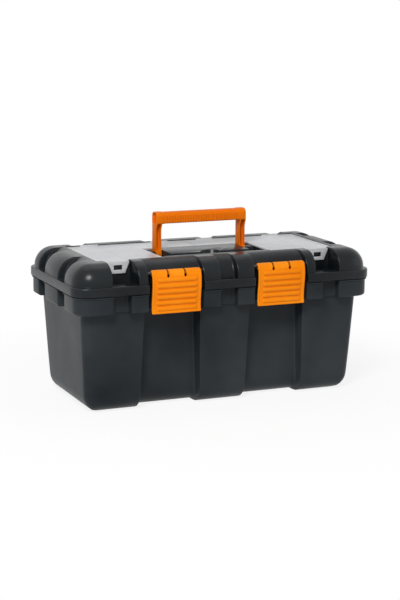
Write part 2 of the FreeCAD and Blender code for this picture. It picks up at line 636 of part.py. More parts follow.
def lid_hinge_pin(side, sign):
    x = span(f"{sign} * hinge_x", "knuckle_length + side_gap", "ear_length")
    return rod(f"lid_hinge_pin_{side}", "x", *x, (HINGE_Y, HINGE_Z), "lid_pin_r")


# ---------- organiser covers, their pins and the dividers ----------

def organiser_cover(side, sign):
    """An L-shaped clear cover, hinged along the back, with a tab that hangs over the front."""
    low = f"{LID_TOP} - cover_drop - cover_wall"
    high = f"{LID_TOP} - cover_drop"
    front = "-(cover_half_y - run_gap)"
    rear = "cover_half_y - side_gap"
    far = "cover_half_x - run_gap"
    inner = "recess_half + run_gap"

    def ahead(near_x, far_x):
        return (near_x, far_x) if sign > 0 else (f"-({far_x})", f"-({near_x})")

    z = (low, high)
    pieces = [block(f"panel_{side}", ahead(inner, far), (front, rear), z)]
    pieces.append(block(f"panel_rear_{side}", ahead("run_gap", f"{inner} + 1"),
                        ("recess_back + run_gap", rear), z))
    middle = f"{sign} * tab_x"
    tab_back = "tab_wall_y + lug_reach + run_gap"
    pieces.append(block(f"bridge_{side}", span(middle, "tab_top", "0"),
                        (f"-({tab_back}) - cover_wall", "-cover_half_y + 1"), z))
    foot = f"{high} - tab_drop"
    corners = [(f"{middle} - tab_foot / 2", foot), (f"{middle} + tab_foot / 2", foot),
               (f"{middle} + tab_top / 2", low), (f"{middle} - tab_top / 2", low)]
    flap, pad = profile(f"flap_{side}", "XZ_Plane", tab_back, "cover_wall", corners)
    pieces.append(flap)
    for number, place in enumerate(knuckle_places(sign)):
        x = span(place, "cover_knuckle", "0")
        pieces.append(rod(f"cover_knuckle_{side}_{number}", "x", *x, ("cover_pin_y", COVER_PIN_Z),
                          "cover_knuckle_r"))
        pieces.append(block(f"cover_web_{side}_{number}", x, (f"{rear} - 1", "cover_pin_y"),
                            (f"{COVER_PIN_Z} - cover_wall / 2", f"{COVER_PIN_Z} + cover_wall / 2")))
    window_top = f"{low} - window_drop"
    cuts = [block(f"window_{side}", span(middle, "window_width", "0"),
                  (f"-({tab_back}) - cover_wall - 1", f"-({tab_back}) + 1"),
                  (f"{window_top} - window_height", window_top)),
            rod(f"cover_eye_{side}", "x", *ahead("1", "cover_half_x"), ("cover_pin_y", COVER_PIN_Z),
                "cover_pin_r + pin_gap")]
    return cut(f"organiser_cover_{side}", join(f"cover_solid_{side}", pieces), cuts)


def cover_hinge_pin(side, sign):
    near = "(cover_pin_in + run_gap)"
    far = "(cover_pin_out - run_gap)"
    x = (near, far) if sign > 0 else (f"-{far}", f"-{near}")
    return rod(f"cover_hinge_pin_{side}", "x", *x, ("cover_pin_y", COVER_PIN_Z), "cover_pin_r")


def organiser_dividers(side, sign):
    """Three loose plates in each organiser: two across its arm and one across its rear."""
    z = ("well_floor_z + divider_gap", f"{LID_TOP} - divider_top")
    near = "(recess_half + ledge + divider_gap)"
    far = "(cover_half_x - ledge - divider_gap)"
    x = (near, far) if sign > 0 else (f"-{far}", f"-{near}")
    rear_y = ("recess_back + ledge + divider_gap", "cover_half_y - ledge - divider_gap")
    return [
        block(f"organiser_divider_{side}_front", x, span("-divider_front_y", "divider", "0"), z),
        block(f"organiser_divider_{side}_middle", x, span("(recess_back + ledge)", "divider", "0"), z),
        block(f"organiser_divider_{side}_rear", span(f"{sign} * (recess_half + ledge) / 2", "divider", "0"),
              rear_y, z),
    ]


# ---------- lift-out tray and its dividers ----------

TRAY_X = f"({SKIRT_X} - groove_depth - wall - tray_gap)"
TRAY_Y = f"({SLOT_Y} - wall - tray_gap)"
TRAY_Z = "(shoulder_z + wall + seam_gap)"


def tool_tray():
    """A shallow tray on the tub's shoulder, with a grip along the middle."""
    outer = rounded_block("tray_blank", (TRAY_X, TRAY_Y), TRAY_Z, "tray_height", "tray_corner")
    hollow = rounded_block("tray_hollow", (f"{TRAY_X} - tray_wall", f"{TRAY_Y} - tray_wall"),
                           f"{TRAY_Z} + tray_wall", "tray_height", "tray_corner - tray_wall")
    ridge = block("tray_ridge", span("0", f"2 * {TRAY_X} - tray_wall", "0"), span("0", "tray_rib", "0"),
                  (f"{TRAY_Z} + tray_wall / 2", f"{TRAY_Z} + tray_height"))
    hole_top = f"{TRAY_Z} + tray_height - 2 * tray_wall"
    hole = block("tray_hand_hole", span("0", "grip_hole_length", "0"), span("0", "2 * tray_rib", "0"),
                 (f"{hole_top} - grip_hole_height", hole_top))
    shell = cut("tray_shell", outer, [hollow])
    return cut("tool_tray", join("tray_solid", [shell, ridge]), [hole])


def tray_dividers():
    """Three loose plates in the tray: two in its front half and one in its rear half."""
    z = (f"{TRAY_Z} + tray_wall + divider_gap", f"{TRAY_Z} + tray_height - tray_divider_drop")
    near = "(tray_rib / 2 + divider_gap)"
    far = f"({TRAY_Y} - tray_wall - divider_gap)"
    front = (f"-{far}", f"-{near}")
    plates = [("front_left", "-tray_divider_x", front), ("front_right", "tray_divider_x", front),
              ("rear", "tray_divider_rear_x", (near, far))]
    return [block(f"tray_divider_{name}", span(place, "divider", "0"), y, z) for name, place, y in plates]


# ---------- build, check and write ----------

nodes = [tub(), lid(), handle(), tool_tray()]
for side, sign in SIDES:
    nodes.append(handle_pin(side, sign))
    nodes.append(latch(side, sign))
    nodes.append(latch_pin(side, sign))
    nodes.append(lid_hinge_pin(side, sign))
    nodes.append(organiser_cover(side, sign))
    nodes.append(cover_hinge_pin(side, sign))
    nodes.extend(organiser_dividers(side, sign))
nodes.extend(tray_dividers())
doc.recompute()

for thing in doc.Objects:
    if "Invalid" in thing.State or "Error" in thing.State:
        raise RuntimeError(f"{thing.Name} failed: {thing.State}")
for node in nodes:
    node.Label = node.Name
    shape = node.Shape
    if shape.isNull() or not shape.isValid() or len(shape.Solids) != 1:
        raise RuntimeError(f"{node.Label} is not one valid solid")
for node in nodes:
    node.Shape.exportStep(f"parts/{node.Label}.step")
    box = node.Shape.BoundBox
    print(f"{node.Label}: {node.Shape.Volume / 1000:.1f} cm3, z {box.ZMin:.1f} to {box.ZMax:.1f}")
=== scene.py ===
import math

import bmesh
import bpy
from mathutils import Matrix, Vector


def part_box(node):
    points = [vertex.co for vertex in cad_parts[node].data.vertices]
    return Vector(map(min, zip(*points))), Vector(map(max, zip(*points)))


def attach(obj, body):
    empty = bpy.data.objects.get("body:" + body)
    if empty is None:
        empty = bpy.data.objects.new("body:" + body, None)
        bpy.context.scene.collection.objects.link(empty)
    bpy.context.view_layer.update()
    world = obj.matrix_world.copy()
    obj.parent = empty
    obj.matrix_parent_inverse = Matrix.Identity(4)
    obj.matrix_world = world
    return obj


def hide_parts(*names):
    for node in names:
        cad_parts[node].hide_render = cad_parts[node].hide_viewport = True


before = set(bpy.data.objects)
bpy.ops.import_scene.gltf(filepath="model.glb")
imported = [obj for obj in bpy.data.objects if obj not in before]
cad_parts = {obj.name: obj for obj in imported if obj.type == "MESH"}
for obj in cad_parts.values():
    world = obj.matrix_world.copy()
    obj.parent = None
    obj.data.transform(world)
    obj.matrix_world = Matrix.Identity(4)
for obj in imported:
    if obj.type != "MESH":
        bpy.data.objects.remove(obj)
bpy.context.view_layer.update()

# Carpenter's toolbox: a moulded tub and a domed lid, with a folding handle, two latches and clear
# organiser covers. Sizes are millimetres, turned into metres where a mesh is made.

# ---------- Tub ----------
# The lower half of the box, one injection moulding of anthracite polypropylene with a fine
# spark-eroded grain. Its walls draw in towards the base, and two bays run up under the latches.

MM = 0.001


def new_group(name, inputs, outputs):
    """An empty shader node group with named sockets."""
    group = bpy.data.node_groups.new(name, "ShaderNodeTree")
    for label, kind, value in inputs:
        socket = group.interface.new_socket(name=label, in_out="INPUT", socket_type=kind)
        socket.default_value = value
    for label, kind in outputs:
        group.interface.new_socket(name=label, in_out="OUTPUT", socket_type=kind)
    return group


def feed(tree, value, socket):
    """Give an input a plain value, or link it to another node's output."""
    if isinstance(value, bpy.types.NodeSocket):
        tree.links.new(value, socket)
    else:
        socket.default_value = value


def add(tree, kind, **settings):
    """A node with its settings; what isn't a property goes to the input of the same name."""
    node = tree.nodes.new(kind)
    for key, value in settings.items():
        if hasattr(node, key):
            setattr(node, key, value)
        else:
            feed(tree, value, node.inputs[key.replace("_", " ").title()])
    return node


def blend_value(tree, low, high, share):
    """Low to high by a share, any of them a number or a socket."""
    node = tree.nodes.new("ShaderNodeMix")
    node.data_type = "FLOAT"
    for slot, value in ((0, share), (2, low), (3, high)):
        feed(tree, value, node.inputs[slot])
    return node.outputs[0]


def blend_colour(tree, low, high, share, way="MIX"):
    """The same for two colours, mixed or multiplied."""
    node = tree.nodes.new("ShaderNodeMix")
    node.data_type = "RGBA"
    node.blend_type = way
    for slot, value in ((0, share), (6, low), (7, high)):
        feed(tree, value, node.inputs[slot])
    return node.outputs[2]


def calculated(tree, operation, first, second):
    """Two values put together, each a number or a socket."""
    node = tree.nodes.new("ShaderNodeMath")
    node.operation = operation
    feed(tree, first, node.inputs[0])
    feed(tree, second, node.inputs[1])
    return node.outputs[0]


def ramp(tree, value, low, high):
    """A share that climbs from 0 at low to 1 at high."""
    node = tree.nodes.new("ShaderNodeMapRange")
    node.inputs["From Min"].default_value = low
    node.inputs["From Max"].default_value = high
    tree.links.new(value, node.inputs["Value"])
    return node.outputs["Result"]


def moulded_skin():
    """Colour drift, rubbed edges, faint scuffs and the grain of a moulded plastic."""
    group = new_group("moulded_skin", [
        ("Colour", "NodeSocketColor", (0.1, 0.1, 0.1, 1)),
        ("Rubbed Colour", "NodeSocketColor", (0.2, 0.2, 0.2, 1)),
        ("Roughness", "NodeSocketFloat", 0.4),
        ("Drift", "NodeSocketFloat", 0.1),
        ("Rubbing", "NodeSocketFloat", 0.3),
        ("Grain Size", "NodeSocketFloat", 0.8),
    ], [("Colour", "NodeSocketColor"), ("Roughness", "NodeSocketFloat"), ("Height", "NodeSocketFloat")])
    given = group.nodes.new("NodeGroupInput").outputs
    result = group.nodes.new("NodeGroupOutput").inputs
    place = group.nodes.new("ShaderNodeTexCoord").outputs["Object"]
    cloud = add(group, "ShaderNodeTexNoise", vector=place, scale=7.0, detail=3.0).outputs["Fac"]
    handling = add(group, "ShaderNodeTexNoise", vector=place, scale=38.0, detail=5.0).outputs["Fac"]
    pitch = calculated(group, "DIVIDE", 1 / MM, given["Grain Size"])
    grain = add(group, "ShaderNodeTexNoise", vector=place, scale=pitch, detail=2.0).outputs["Fac"]
    stretch = add(group, "ShaderNodeMapping", vector=place, scale=(60, 60, 900), rotation=(0.5, 0.35, 0.2))
    scuff = add(group, "ShaderNodeTexNoise", vector=stretch.outputs[0], scale=1.0, detail=4.0)
    scuffs = ramp(group, scuff.outputs["Fac"], 0.66, 0.74)
    edge = ramp(group, group.nodes.new("ShaderNodeNewGeometry").outputs["Pointiness"], 0.52, 0.62)
    wear = calculated(group, "MULTIPLY", edge, ramp(group, handling, 0.35, 0.65))
    wear = calculated(group, "MULTIPLY", wear, given["Rubbing"])
    paler = blend_colour(group, given["Colour"], given["Rubbed Colour"], given["Drift"])
    clouded = blend_colour(group, given["Colour"], paler, ramp(group, cloud, 0.3, 0.7))
    group.links.new(blend_colour(group, clouded, given["Rubbed Colour"], wear), result["Colour"])
    polish = blend_value(group, 0.88, 1.12, handling)
    polish = blend_value(group, polish, 1.25, scuffs)
    group.links.new(calculated(group, "MULTIPLY", polish, given["Roughness"]), result["Roughness"])
    group.links.new(grain, result["Height"])
    return group


MOULDED_SKIN = moulded_skin()


def linear(red, green, blue):
    """A colour given as it looks on screen, 0 to 255, in linear light."""
    parts = [part / 255 for part in (red, green, blue)]
    return [part / 12.92 if part <= 0.04045 else ((part + 0.055) / 1.055) ** 2.4 for part in parts] + [1.0]


def moulded(name, colour, rubbed, roughness, drift=0.35, rubbing=0.35, grain=0.9, depth=0.06, **constants):
    """A moulded plastic: grain is the pitch of its texture and depth its height, in millimetres."""
    material = bpy.data.materials.new(name)
    material.use_nodes = True
    tree = material.node_tree
    shader = tree.nodes["Principled BSDF"]
    skin = tree.nodes.new("ShaderNodeGroup")
    skin.node_tree = MOULDED_SKIN
    values = {"Colour": linear(*colour), "Rubbed Colour": linear(*rubbed), "Roughness": roughness,
              "Drift": drift, "Rubbing": rubbing, "Grain Size": grain}
    for label, value in values.items():
        skin.inputs[label].default_value = value
    tree.links.new(skin.outputs["Colour"], shader.inputs["Base Color"])
    tree.links.new(skin.outputs["Roughness"], shader.inputs["Roughness"])
    bump = tree.nodes.new("ShaderNodeBump")
    bump.inputs["Strength"].default_value = 1.0
    bump.inputs["Distance"].default_value = depth * MM
    tree.links.new(skin.outputs["Height"], bump.inputs["Height"])
    tree.links.new(bump.outputs["Normal"], shader.inputs["Normal"])
    for label, value in constants.items():
        shader.inputs[label.replace("_", " ").title().replace("Ior", "IOR")].default_value = value
    return material


TUB_PLASTIC = moulded("anthracite_tub", (23, 28, 32), (76, 82, 86), 0.38, specular_ior_level=0.13)
EDGE_TURNS = [math.radians(turn) for turn in (0, 30, 60, 90)]
CORNER_STEPS = 10
LIP_FLAT = 0.5
CORNER_GAP = 0.3
WELD = 0.002 * MM
FACES = {
    "front": lambda along, out: (along, -out),
    "right": lambda along, out: (out, along),
    "back": lambda along, out: (-along, out),
    "left": lambda along, out: (-out, -along),
}


def groove_edge(depth, lip, heel):
    """Places and depths along a groove's edge: over its rounded lip and into its floor."""
    fit = min(1.0, depth / (lip + heel))
    lip_points = [(lip * (math.sin(turn) - 1), fit * lip * (1 - math.cos(turn))) for turn in EDGE_TURNS]
    heel_points = [(LIP_FLAT + heel * (1 - math.cos(turn)), depth - fit * heel * (1 - math.sin(turn)))
                   for turn in EDGE_TURNS]
    return lip_points + heel_points


def ring(row, grooves):
    """One closed loop of points round the box, sunk where a groove crosses it.

    A row is half length, half depth, corner radius, height, and for each kind of groove how far in
    its floor lies, at what height, and how much wider it is on each side.
    """
    half_x, half_y, corner, height, floors = row
    loop = []
    for face, (half, reach) in zip(FACES, ((half_x, half_y), (half_y, half_x)) * 2):
        limit = half - corner
        stations = []
        for name, on, middle, width, lip, heel in grooves:
            if on != face:
                continue
            inset, floor_z, wider = floors.get(name, (0.0, height, 0.0))
            depth = math.hypot(inset, floor_z - height)
            reach_out = width / 2 + wider
            edge = [(reach_out - place, sunk) for place, sunk in groove_edge(depth, lip, heel)]
            inner = edge[-1][0]
            spots = [(-place, sunk) for place, sunk in edge]
            spots += [(-inner / 3, depth), (inner / 3, depth)]
            spots += reversed(edge)
            for place, sunk in spots:
                stations.append((middle + place, sunk / depth if depth > 1e-6 else 0.0, inset, floor_z))
        widest = max([abs(station[0]) for station in stations], default=1.0)
        squeeze = min(1.0, (limit - CORNER_GAP) / widest)
        stations = [(place * squeeze, share, inset, low) for place, share, inset, low in stations]
        stations = [(-limit, 0, 0, height)] + stations + [(limit, 0, 0, height)]
        for place, share, inset, low in stations:
            across, away = FACES[face](place, reach - share * inset)
            loop.append((across, away, height + share * (low - height)))
        for step in range(1, CORNER_STEPS):
            turn = math.radians(90 * step / CORNER_STEPS)
            across, away = FACES[face](limit + corner * math.sin(turn),
                                       reach - corner + corner * math.cos(turn))
            loop.append((across, away, height))
    return loop


def ring_shell(shape, rows, grooves, closed):
    """Skin the rings in order; the ends are capped, or joined to each other."""
    loops = [[shape.verts.new(Vector(point) * MM) for point in ring(row, grooves)] for row in rows]
    pairs = list(zip(loops, loops[1:]))
    if closed:
        pairs.append((loops[-1], loops[0]))
    for below, above in pairs:
        for number, vertex in enumerate(below):
            after = (number + 1) % len(below)
            shape.faces.new((vertex, below[after], above[after], above[number]))
    if not closed:
        shape.faces.new(reversed(loops[0]))
        shape.faces.new(loops[-1])
    bmesh.ops.remove_doubles(shape, verts=shape.verts, dist=WELD)
    bmesh.ops.dissolve_degenerate(shape, edges=shape.edges, dist=WELD / 2)


def skin(shape, loops):
    """Quads between closed loops of points in millimetres, with the two ends capped."""
    rings = [[shape.verts.new(Vector(point) * MM) for point in loop] for loop in loops]
    faces = []
    for before, beyond in zip(rings, rings[1:]):
        for number in range(len(before)):
            after = (number + 1) % len(before)
            faces.append(shape.faces.new((before[number], before[after], beyond[after], beyond[number])))
    faces += [shape.faces.new(rings[0]), shape.faces.new(reversed(rings[-1]))]
    bmesh.ops.recalc_face_normals(shape, faces=faces)


def box_between(shape, low, high):
    """A plain box between two corners, added to a mesh; gives its eight points."""
    made = bmesh.ops.create_cube(shape, size=1.0)["verts"]
    for vertex in made:
        vertex.co = Vector([(a if part < 0 else b) * MM for part, a, b in zip(vertex.co, low, high)])
    return made


def round_edges(shape, edges, rounding):
    """Round some edges of a mesh by a radius in millimetres."""
    bmesh.ops.bevel(shape, geom=edges, offset=rounding * MM, segments=2, profile=0.5,
                    affect="EDGES", clamp_overlap=True)


def rounded_bar(shape, low, high, rounding):
    """A box with every edge rounded, added to a mesh."""
    made = box_between(shape, low, high)
    round_edges(shape, list({edge for vertex in made for edge in vertex.link_edges}), rounding)


def eyed_plate(shape, profile, eye, radius, start, end):
    """A plate along X with a round hole: profile and eye are (Y, Z)."""
    hole = [(eye[0] + radius * math.cos(turn), eye[1] + radius * math.sin(turn))
            for turn in (math.tau * step / 24 for step in range(24))]
    walls = []
    for outline in (profile, hole):
        near = [shape.verts.new((start * MM, y * MM, z * MM)) for y, z in outline]
        far = [shape.verts.new((end * MM, y * MM, z * MM)) for y, z in outline]
        walls.append((near, far))
    faces = []
    for near, far in walls:
        for number in range(len(near)):
            after = (number + 1) % len(near)
            faces.append(shape.faces.new((near[number], near[after], far[after], far[number])))
    for end_loops in ([near for near, far in walls], [far for near, far in walls]):
        edges = []
        for loop in end_loops:
            edges += [shape.edges.get((loop[k], loop[(k + 1) % len(loop)])) for k in range(len(loop))]
        made = bmesh.ops.triangle_fill(shape, use_beauty=True, use_dissolve=True, edges=edges)
        faces += [item for item in made["geom"] if isinstance(item, bmesh.types.BMFace)]
    bmesh.ops.recalc_face_normals(shape, faces=faces)


def arc(middle, radius, start, end, steps):
    """Points of an arc in a plane, from one angle to another in degrees."""
    turns = [math.radians(start + (end - start) * step / steps) for step in range(steps + 1)]
    return [(middle[0] + radius * math.cos(turn), middle[1] + radius * math.sin(turn)) for turn in turns]


SHARP_ANGLE = math.radians(32)


def loose_object(name, shape):
    """An object in the scene made from a mesh in work."""
    data = bpy.data.meshes.new(name)
    shape.to_mesh(data)
    shape.free()
    loose = bpy.data.objects.new(name, data)
    bpy.context.scene.collection.objects.link(loose)
    return loose


def finished(name, shape, material, body, nodes):
    """Turn a mesh into a named piece that stands for CAD nodes and rides on a body."""
    piece = loose_object(name, shape)
    piece.data.shade_smooth()
    piece.data.set_sharp_from_angle(angle=SHARP_ANGLE)
    piece.data.materials.append(material)
    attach(piece, body)
    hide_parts(*nodes)


WALL = 3.0
DRAFT = math.radians(3.2)
BASE_RADIUS = 28.0
BODY = (232.5, 102.9)
BODY_CORNER = 15.0
SHOULDER_Z = 157.0
SKIRT = (246.5, 119.3)
SKIRT_CORNER = 25.5
SKIRT_FOOT_Z = 161.0
SKIRT_FOOT_RADIUS = 4.0
SEAM_Z = 186.0
LATCH_X = 88.0
LATCH_GAP = 90.0
BAY_WIDEST = 101.0
BAY_TAPER = 10.0
BAY_FLOOR = 76.5
GROOVE_DEPTH = 12.0
GROOVE_WIDTH = 28.5
END_GROOVE_WIDTH = 31.0
END_GROOVES = (-41.0, 54.0)
BACK_GROOVES = (-175.2, -51.0, 51.0, 175.2)


def tub_grooves():
    """Bays below the latches and slots in the skirt, in the order they are met on each face."""
    lip, heel, bay_heel = 1.2, 2.0, 3.5
    grooves = [("slot", "front", BACK_GROOVES[0], GROOVE_WIDTH, lip, bay_heel),
               ("bay", "front", -LATCH_X, LATCH_GAP, lip, bay_heel),
               ("slot", "front", 0.0, GROOVE_WIDTH, lip, bay_heel),
               ("bay", "front", LATCH_X, LATCH_GAP, lip, bay_heel),
               ("slot", "front", BACK_GROOVES[-1], GROOVE_WIDTH, lip, bay_heel)]
    grooves += [("slot", "right", place, END_GROOVE_WIDTH, lip, heel) for place in END_GROOVES]
    grooves += [("slot", "back", place, GROOVE_WIDTH, lip, heel) for place in BACK_GROOVES]
    grooves += [("slot", "left", -place, END_GROOVE_WIDTH, lip, heel) for place in reversed(END_GROOVES)]
    return grooves


def bay_wider(height):
    """How much wider a bay is on each side than the gap for its latch; it widens downwards."""
    return (BAY_WIDEST - BAY_TAPER * (height + 10.0) / (SHOULDER_Z + 10.0) - LATCH_GAP) / 2


def body_row(height, wall):
    """A level of the tapered body, or of its hollow where there is a wall to take off."""
    fall = (SHOULDER_Z + wall - height) * math.tan(DRAFT)
    half_y = BODY[1] - wall - fall
    return (BODY[0] - wall - fall, half_y, BODY_CORNER - wall, height,
            {"bay": (half_y - BAY_FLOOR + wall, height, max(bay_wider(height) + wall, wall))})


def base_rounding(wall, turns):
    """Levels of the rounding round the base; the bays' floors curl under with it."""
    radius = BASE_RADIUS - wall
    foot = body_row(wall, wall)
    lean = radius * math.tan(DRAFT) - radius / math.cos(DRAFT)
    rows = []
    for turn in turns:
        cosine, sine = math.cos(math.radians(turn)), math.sin(math.radians(turn))
        inset = -(lean + radius * cosine)
        height = wall + radius * (1 + sine)
        half_y = foot[1] - inset
        floor = BAY_FLOOR - wall - radius * (1 - cosine)
        rows.append((foot[0] - inset, half_y, max(foot[2] - inset, 3.0), height,
                     {"bay": (half_y - floor, height, bay_wider(height) + wall)}))
    return rows


def skirt_row(out, height, wall=0.0):
    """A level of the skirt, which stands out by some millimetres from the skirt's face."""
    floor = (GROOVE_DEPTH + max(out, 0.0), height, wall)
    return (SKIRT[0] + out, SKIRT[1] + out, SKIRT_CORNER + out, height, {"bay": floor, "slot": floor})


def tub_rows():
    """All levels of the tub: up its outside, over the rim and down its hollow."""
    rows = base_rounding(0.0, (-90, -75, -60, -45, -30, -15, -3.2))
    rows += [body_row(height, 0.0) for height in (60.0, 95.0, 130.0, 155.5)]
    half_x, half_y, corner, height, floors = rows[-1]
    inset, floor_z, wider = floors["bay"]
    root = SHOULDER_Z - height
    for turn in (30, 60, 90):
        out = root * (1 - math.cos(math.radians(turn)))
        rise = height + root * math.sin(math.radians(turn))
        rows.append((half_x + out, half_y + out, corner, rise, {"bay": (inset, rise, wider)}))
    for turn in (0, 22.5, 45, 67.5, 90):
        out = SKIRT_FOOT_RADIUS * (math.sin(math.radians(turn)) - 1)
        rows.append(skirt_row(out, SKIRT_FOOT_Z - SKIRT_FOOT_RADIUS * math.cos(math.radians(turn))))
    rows += [skirt_row(out, height) for out, height in (
        (0.0, 172.0), (0.0, 182.0), (0.4, 182.6), (1.5, 182.8), (2.0, 183.4), (2.0, 184.1), (1.5, 184.6),
        (-0.4, 184.8), (-0.4, 185.7))]
    rows += [skirt_row(out, height, wall) for out, height, wall in (
        (-2.4, 185.7, 2.4), (-3.0, 185.1, WALL), (-3.0, 173.0, WALL), (-3.0, 160.6, WALL),
        (-3.6, 160.0, WALL))]
    half_x, half_y, corner, height, floors = body_row(159.0, WALL)
    inset, floor_z, wider = floors["bay"]
    rows.append((half_x + 1.0, half_y + 1.0, corner + 1.0, 160.0, {"bay": (inset, 160.0, wider)}))
    rows += [body_row(height, WALL) for height in (159.0, 120.0, 75.0)]
    rows += base_rounding(WALL, (-3.2, -20, -40, -60, -75, -90))
    return rows


HINGE_X = 113.0
HINGE = (128.6, SEAM_Z)
HINGE_HOLE = 1.55
KNUCKLE_R = 5.5
KNUCKLE_HALF = 13.0
EAR_GAP = 0.5
EAR_WIDTH = 10.0

tub_shape = bmesh.new()
ring_shell(tub_shape, tub_rows(), tub_grooves(), closed=False)
ear_profile = [(117.0, 180.5)] + arc(HINGE, KNUCKLE_R, -90, 175, 16) + [(122.0, 185.7), (117.0, 185.7)]
for sign in (-1, 1):
    rounded_bar(tub_shape, (sign * LATCH_X - 20, -111.5, 166), (sign * LATCH_X + 20, -105.8, 170), 0.6)
    for end in (-1, 1):
        start = sign * HINGE_X + end * (KNUCKLE_HALF + EAR_GAP)
        eyed_plate(tub_shape, ear_profile, HINGE, HINGE_HOLE, start, start + end * EAR_WIDTH)
finished("tub_shell", tub_shape, TUB_PLASTIC, "tub", ["tub"])

# ---------- Lid ----------
# The domed upper half, moulded in the same plastic with a smoother skin. Its seat, two organisers and
# the handle's recess are one inner moulding; crescent grooves and latch recesses are cut over its edges.

LID_PLASTIC = moulded("anthracite_lid", (5, 8, 11), (66, 72, 76), 0.26, specular_ior_level=0.19)
BAND = (250.0, 122.8)
BAND_CORNER = 29.0
BAND_TOP = 200.0
DOME = (246.0, 118.8)
DOME_CORNER = 32.0
DOME_RADIUS = 30.0
LID_TOP = 232.5
SEAT = (200.0, 73.0)
SEAT_Z = 228.8
RAIL = (207.5, 80.5)
RAIL_Z = 229.5
TAB_X = 169.2
TAB_GAP = 41.5
TAB_WALL = 79.0


def lid_grooves():
    """Latch recesses, crescent grooves and the tabs' grooves, in order on each face."""
    lip, heel = 1.6, 3.0
    tab, latch = (TAB_GAP, 1.2, 1.0), (LATCH_GAP, lip, 2.0)
    grooves = [("tab", "front", -TAB_X, *tab), ("latch", "front", -LATCH_X, *latch),
               ("crescent", "front", 0.0, GROOVE_WIDTH, lip, heel),
               ("latch", "front", LATCH_X, *latch), ("tab", "front", TAB_X, *tab)]
    grooves += [("crescent", "right", place, END_GROOVE_WIDTH, lip, heel) for place in END_GROOVES]
    grooves += [("crescent", "back", place, GROOVE_WIDTH, lip, heel) for place in BACK_GROOVES]
    grooves += [("crescent", "left", -place, END_GROOVE_WIDTH, lip, heel)
                for place in reversed(END_GROOVES)]
    return grooves


def band_row(out, height, wall=0.0):
    """A level of the band, which stops at each side of a latch."""
    half_y = BAND[1] + out
    return (BAND[0] + out, half_y, BAND_CORNER + out, height,
            {"latch": (half_y - DOME[1] + GROOVE_DEPTH + wall, height, wall)})


def dome_row(turn, wall):
    """A level of the dome; turn is 0 degrees at its foot and 90 on top."""
    lean = 1 - math.cos(math.radians(turn))
    sine = math.sin(math.radians(turn))
    radius = DOME_RADIUS - wall
    half_y = DOME[1] - wall - radius * lean
    height = LID_TOP - DOME_RADIUS + radius * sine
    groove_radius = LID_TOP - BAND_TOP - wall
    floor_y = DOME[1] - GROOVE_DEPTH - wall - groove_radius * lean
    if wall > 0:
        floor_y = max(floor_y, RAIL[1])
    floor = (half_y - floor_y, BAND_TOP + groove_radius * sine, wall)
    tab_z = height if wall > 0 else min(height, SEAT_Z)
    return (DOME[0] - wall - radius * lean, half_y, max(DOME_CORNER - wall - radius * lean, 2.0), height,
            {"latch": floor, "crescent": floor, "tab": (half_y - TAB_WALL + wall, tab_z, wall)})


def shelf_row(out, height, wall=0.0):
    """The flat ledge on the band, in front of the grooves' floors."""
    half_y = DOME[1] - wall + out
    floor = (GROOVE_DEPTH + out * 0.5, height, wall)
    return (DOME[0] - wall + out, half_y, DOME_CORNER - wall + out, height,
            {"latch": floor, "crescent": floor, "tab": (half_y - TAB_WALL + wall, height, wall)})


def seat_row(out, height, low):
    """The edge of the covers' seat; low is where the gap for each tab comes down to."""
    return (SEAT[0] + out, SEAT[1] + out, 1.0 + max(out, 0.0), height, {"tab": (0.0, low, 0.0)})


def lid_rows():
    """All levels of the lid's shell: up its outside, down into the seat and back down its hollow."""
    rows = [band_row(out, height) for out, height in (
        (-1.3, 186.0), (-0.5, 186.25), (-0.1, 186.7), (0.0, 187.4), (0.0, 193.0), (0.0, 197.7),
        (-0.25, 198.8), (-0.9, 199.6), (-2.0, BAND_TOP))]
    rows += [shelf_row(1.2, BAND_TOP), shelf_row(0.35, BAND_TOP + 0.35)]
    half_x, half_y, corner, height, floors = dome_row(0, 0.0)
    foot_z = BAND_TOP + 1.2
    rows.append((half_x, half_y, corner, foot_z,
                 {name: (inset, foot_z if name == "tab" else BAND_TOP, 0.0)
                  for name, (inset, floor_z, wider) in floors.items()}))
    rows += [dome_row(turn, 0.0) for turn in range(0, 91, 9)]
    underside = SEAT_Z - WALL
    rows += [seat_row(out, height, low) for out, height, low in (
        (0.9, LID_TOP, SEAT_Z), (0.25, LID_TOP - 0.25, SEAT_Z), (0.0, LID_TOP - 0.9, SEAT_Z),
        (0.0, SEAT_Z, SEAT_Z), (0.0, underside, underside))]
    rows += [(*RAIL, 4.0, height, {"tab": (RAIL[1] - TAB_WALL + WALL, height, WALL)})
             for height in (underside, RAIL_Z)]
    rows += [dome_row(turn, WALL) for turn in (90, 75, 60, 45, 30, 15, 0)]
    rows += [shelf_row(0.0, BAND_TOP - WALL, WALL)]
    rows += [band_row(-wall, height, wall) for wall, height in (
        (WALL, BAND_TOP - WALL), (WALL, 190.0), (WALL, SEAM_Z + 0.6), (2.4, SEAM_Z))]
    return rows


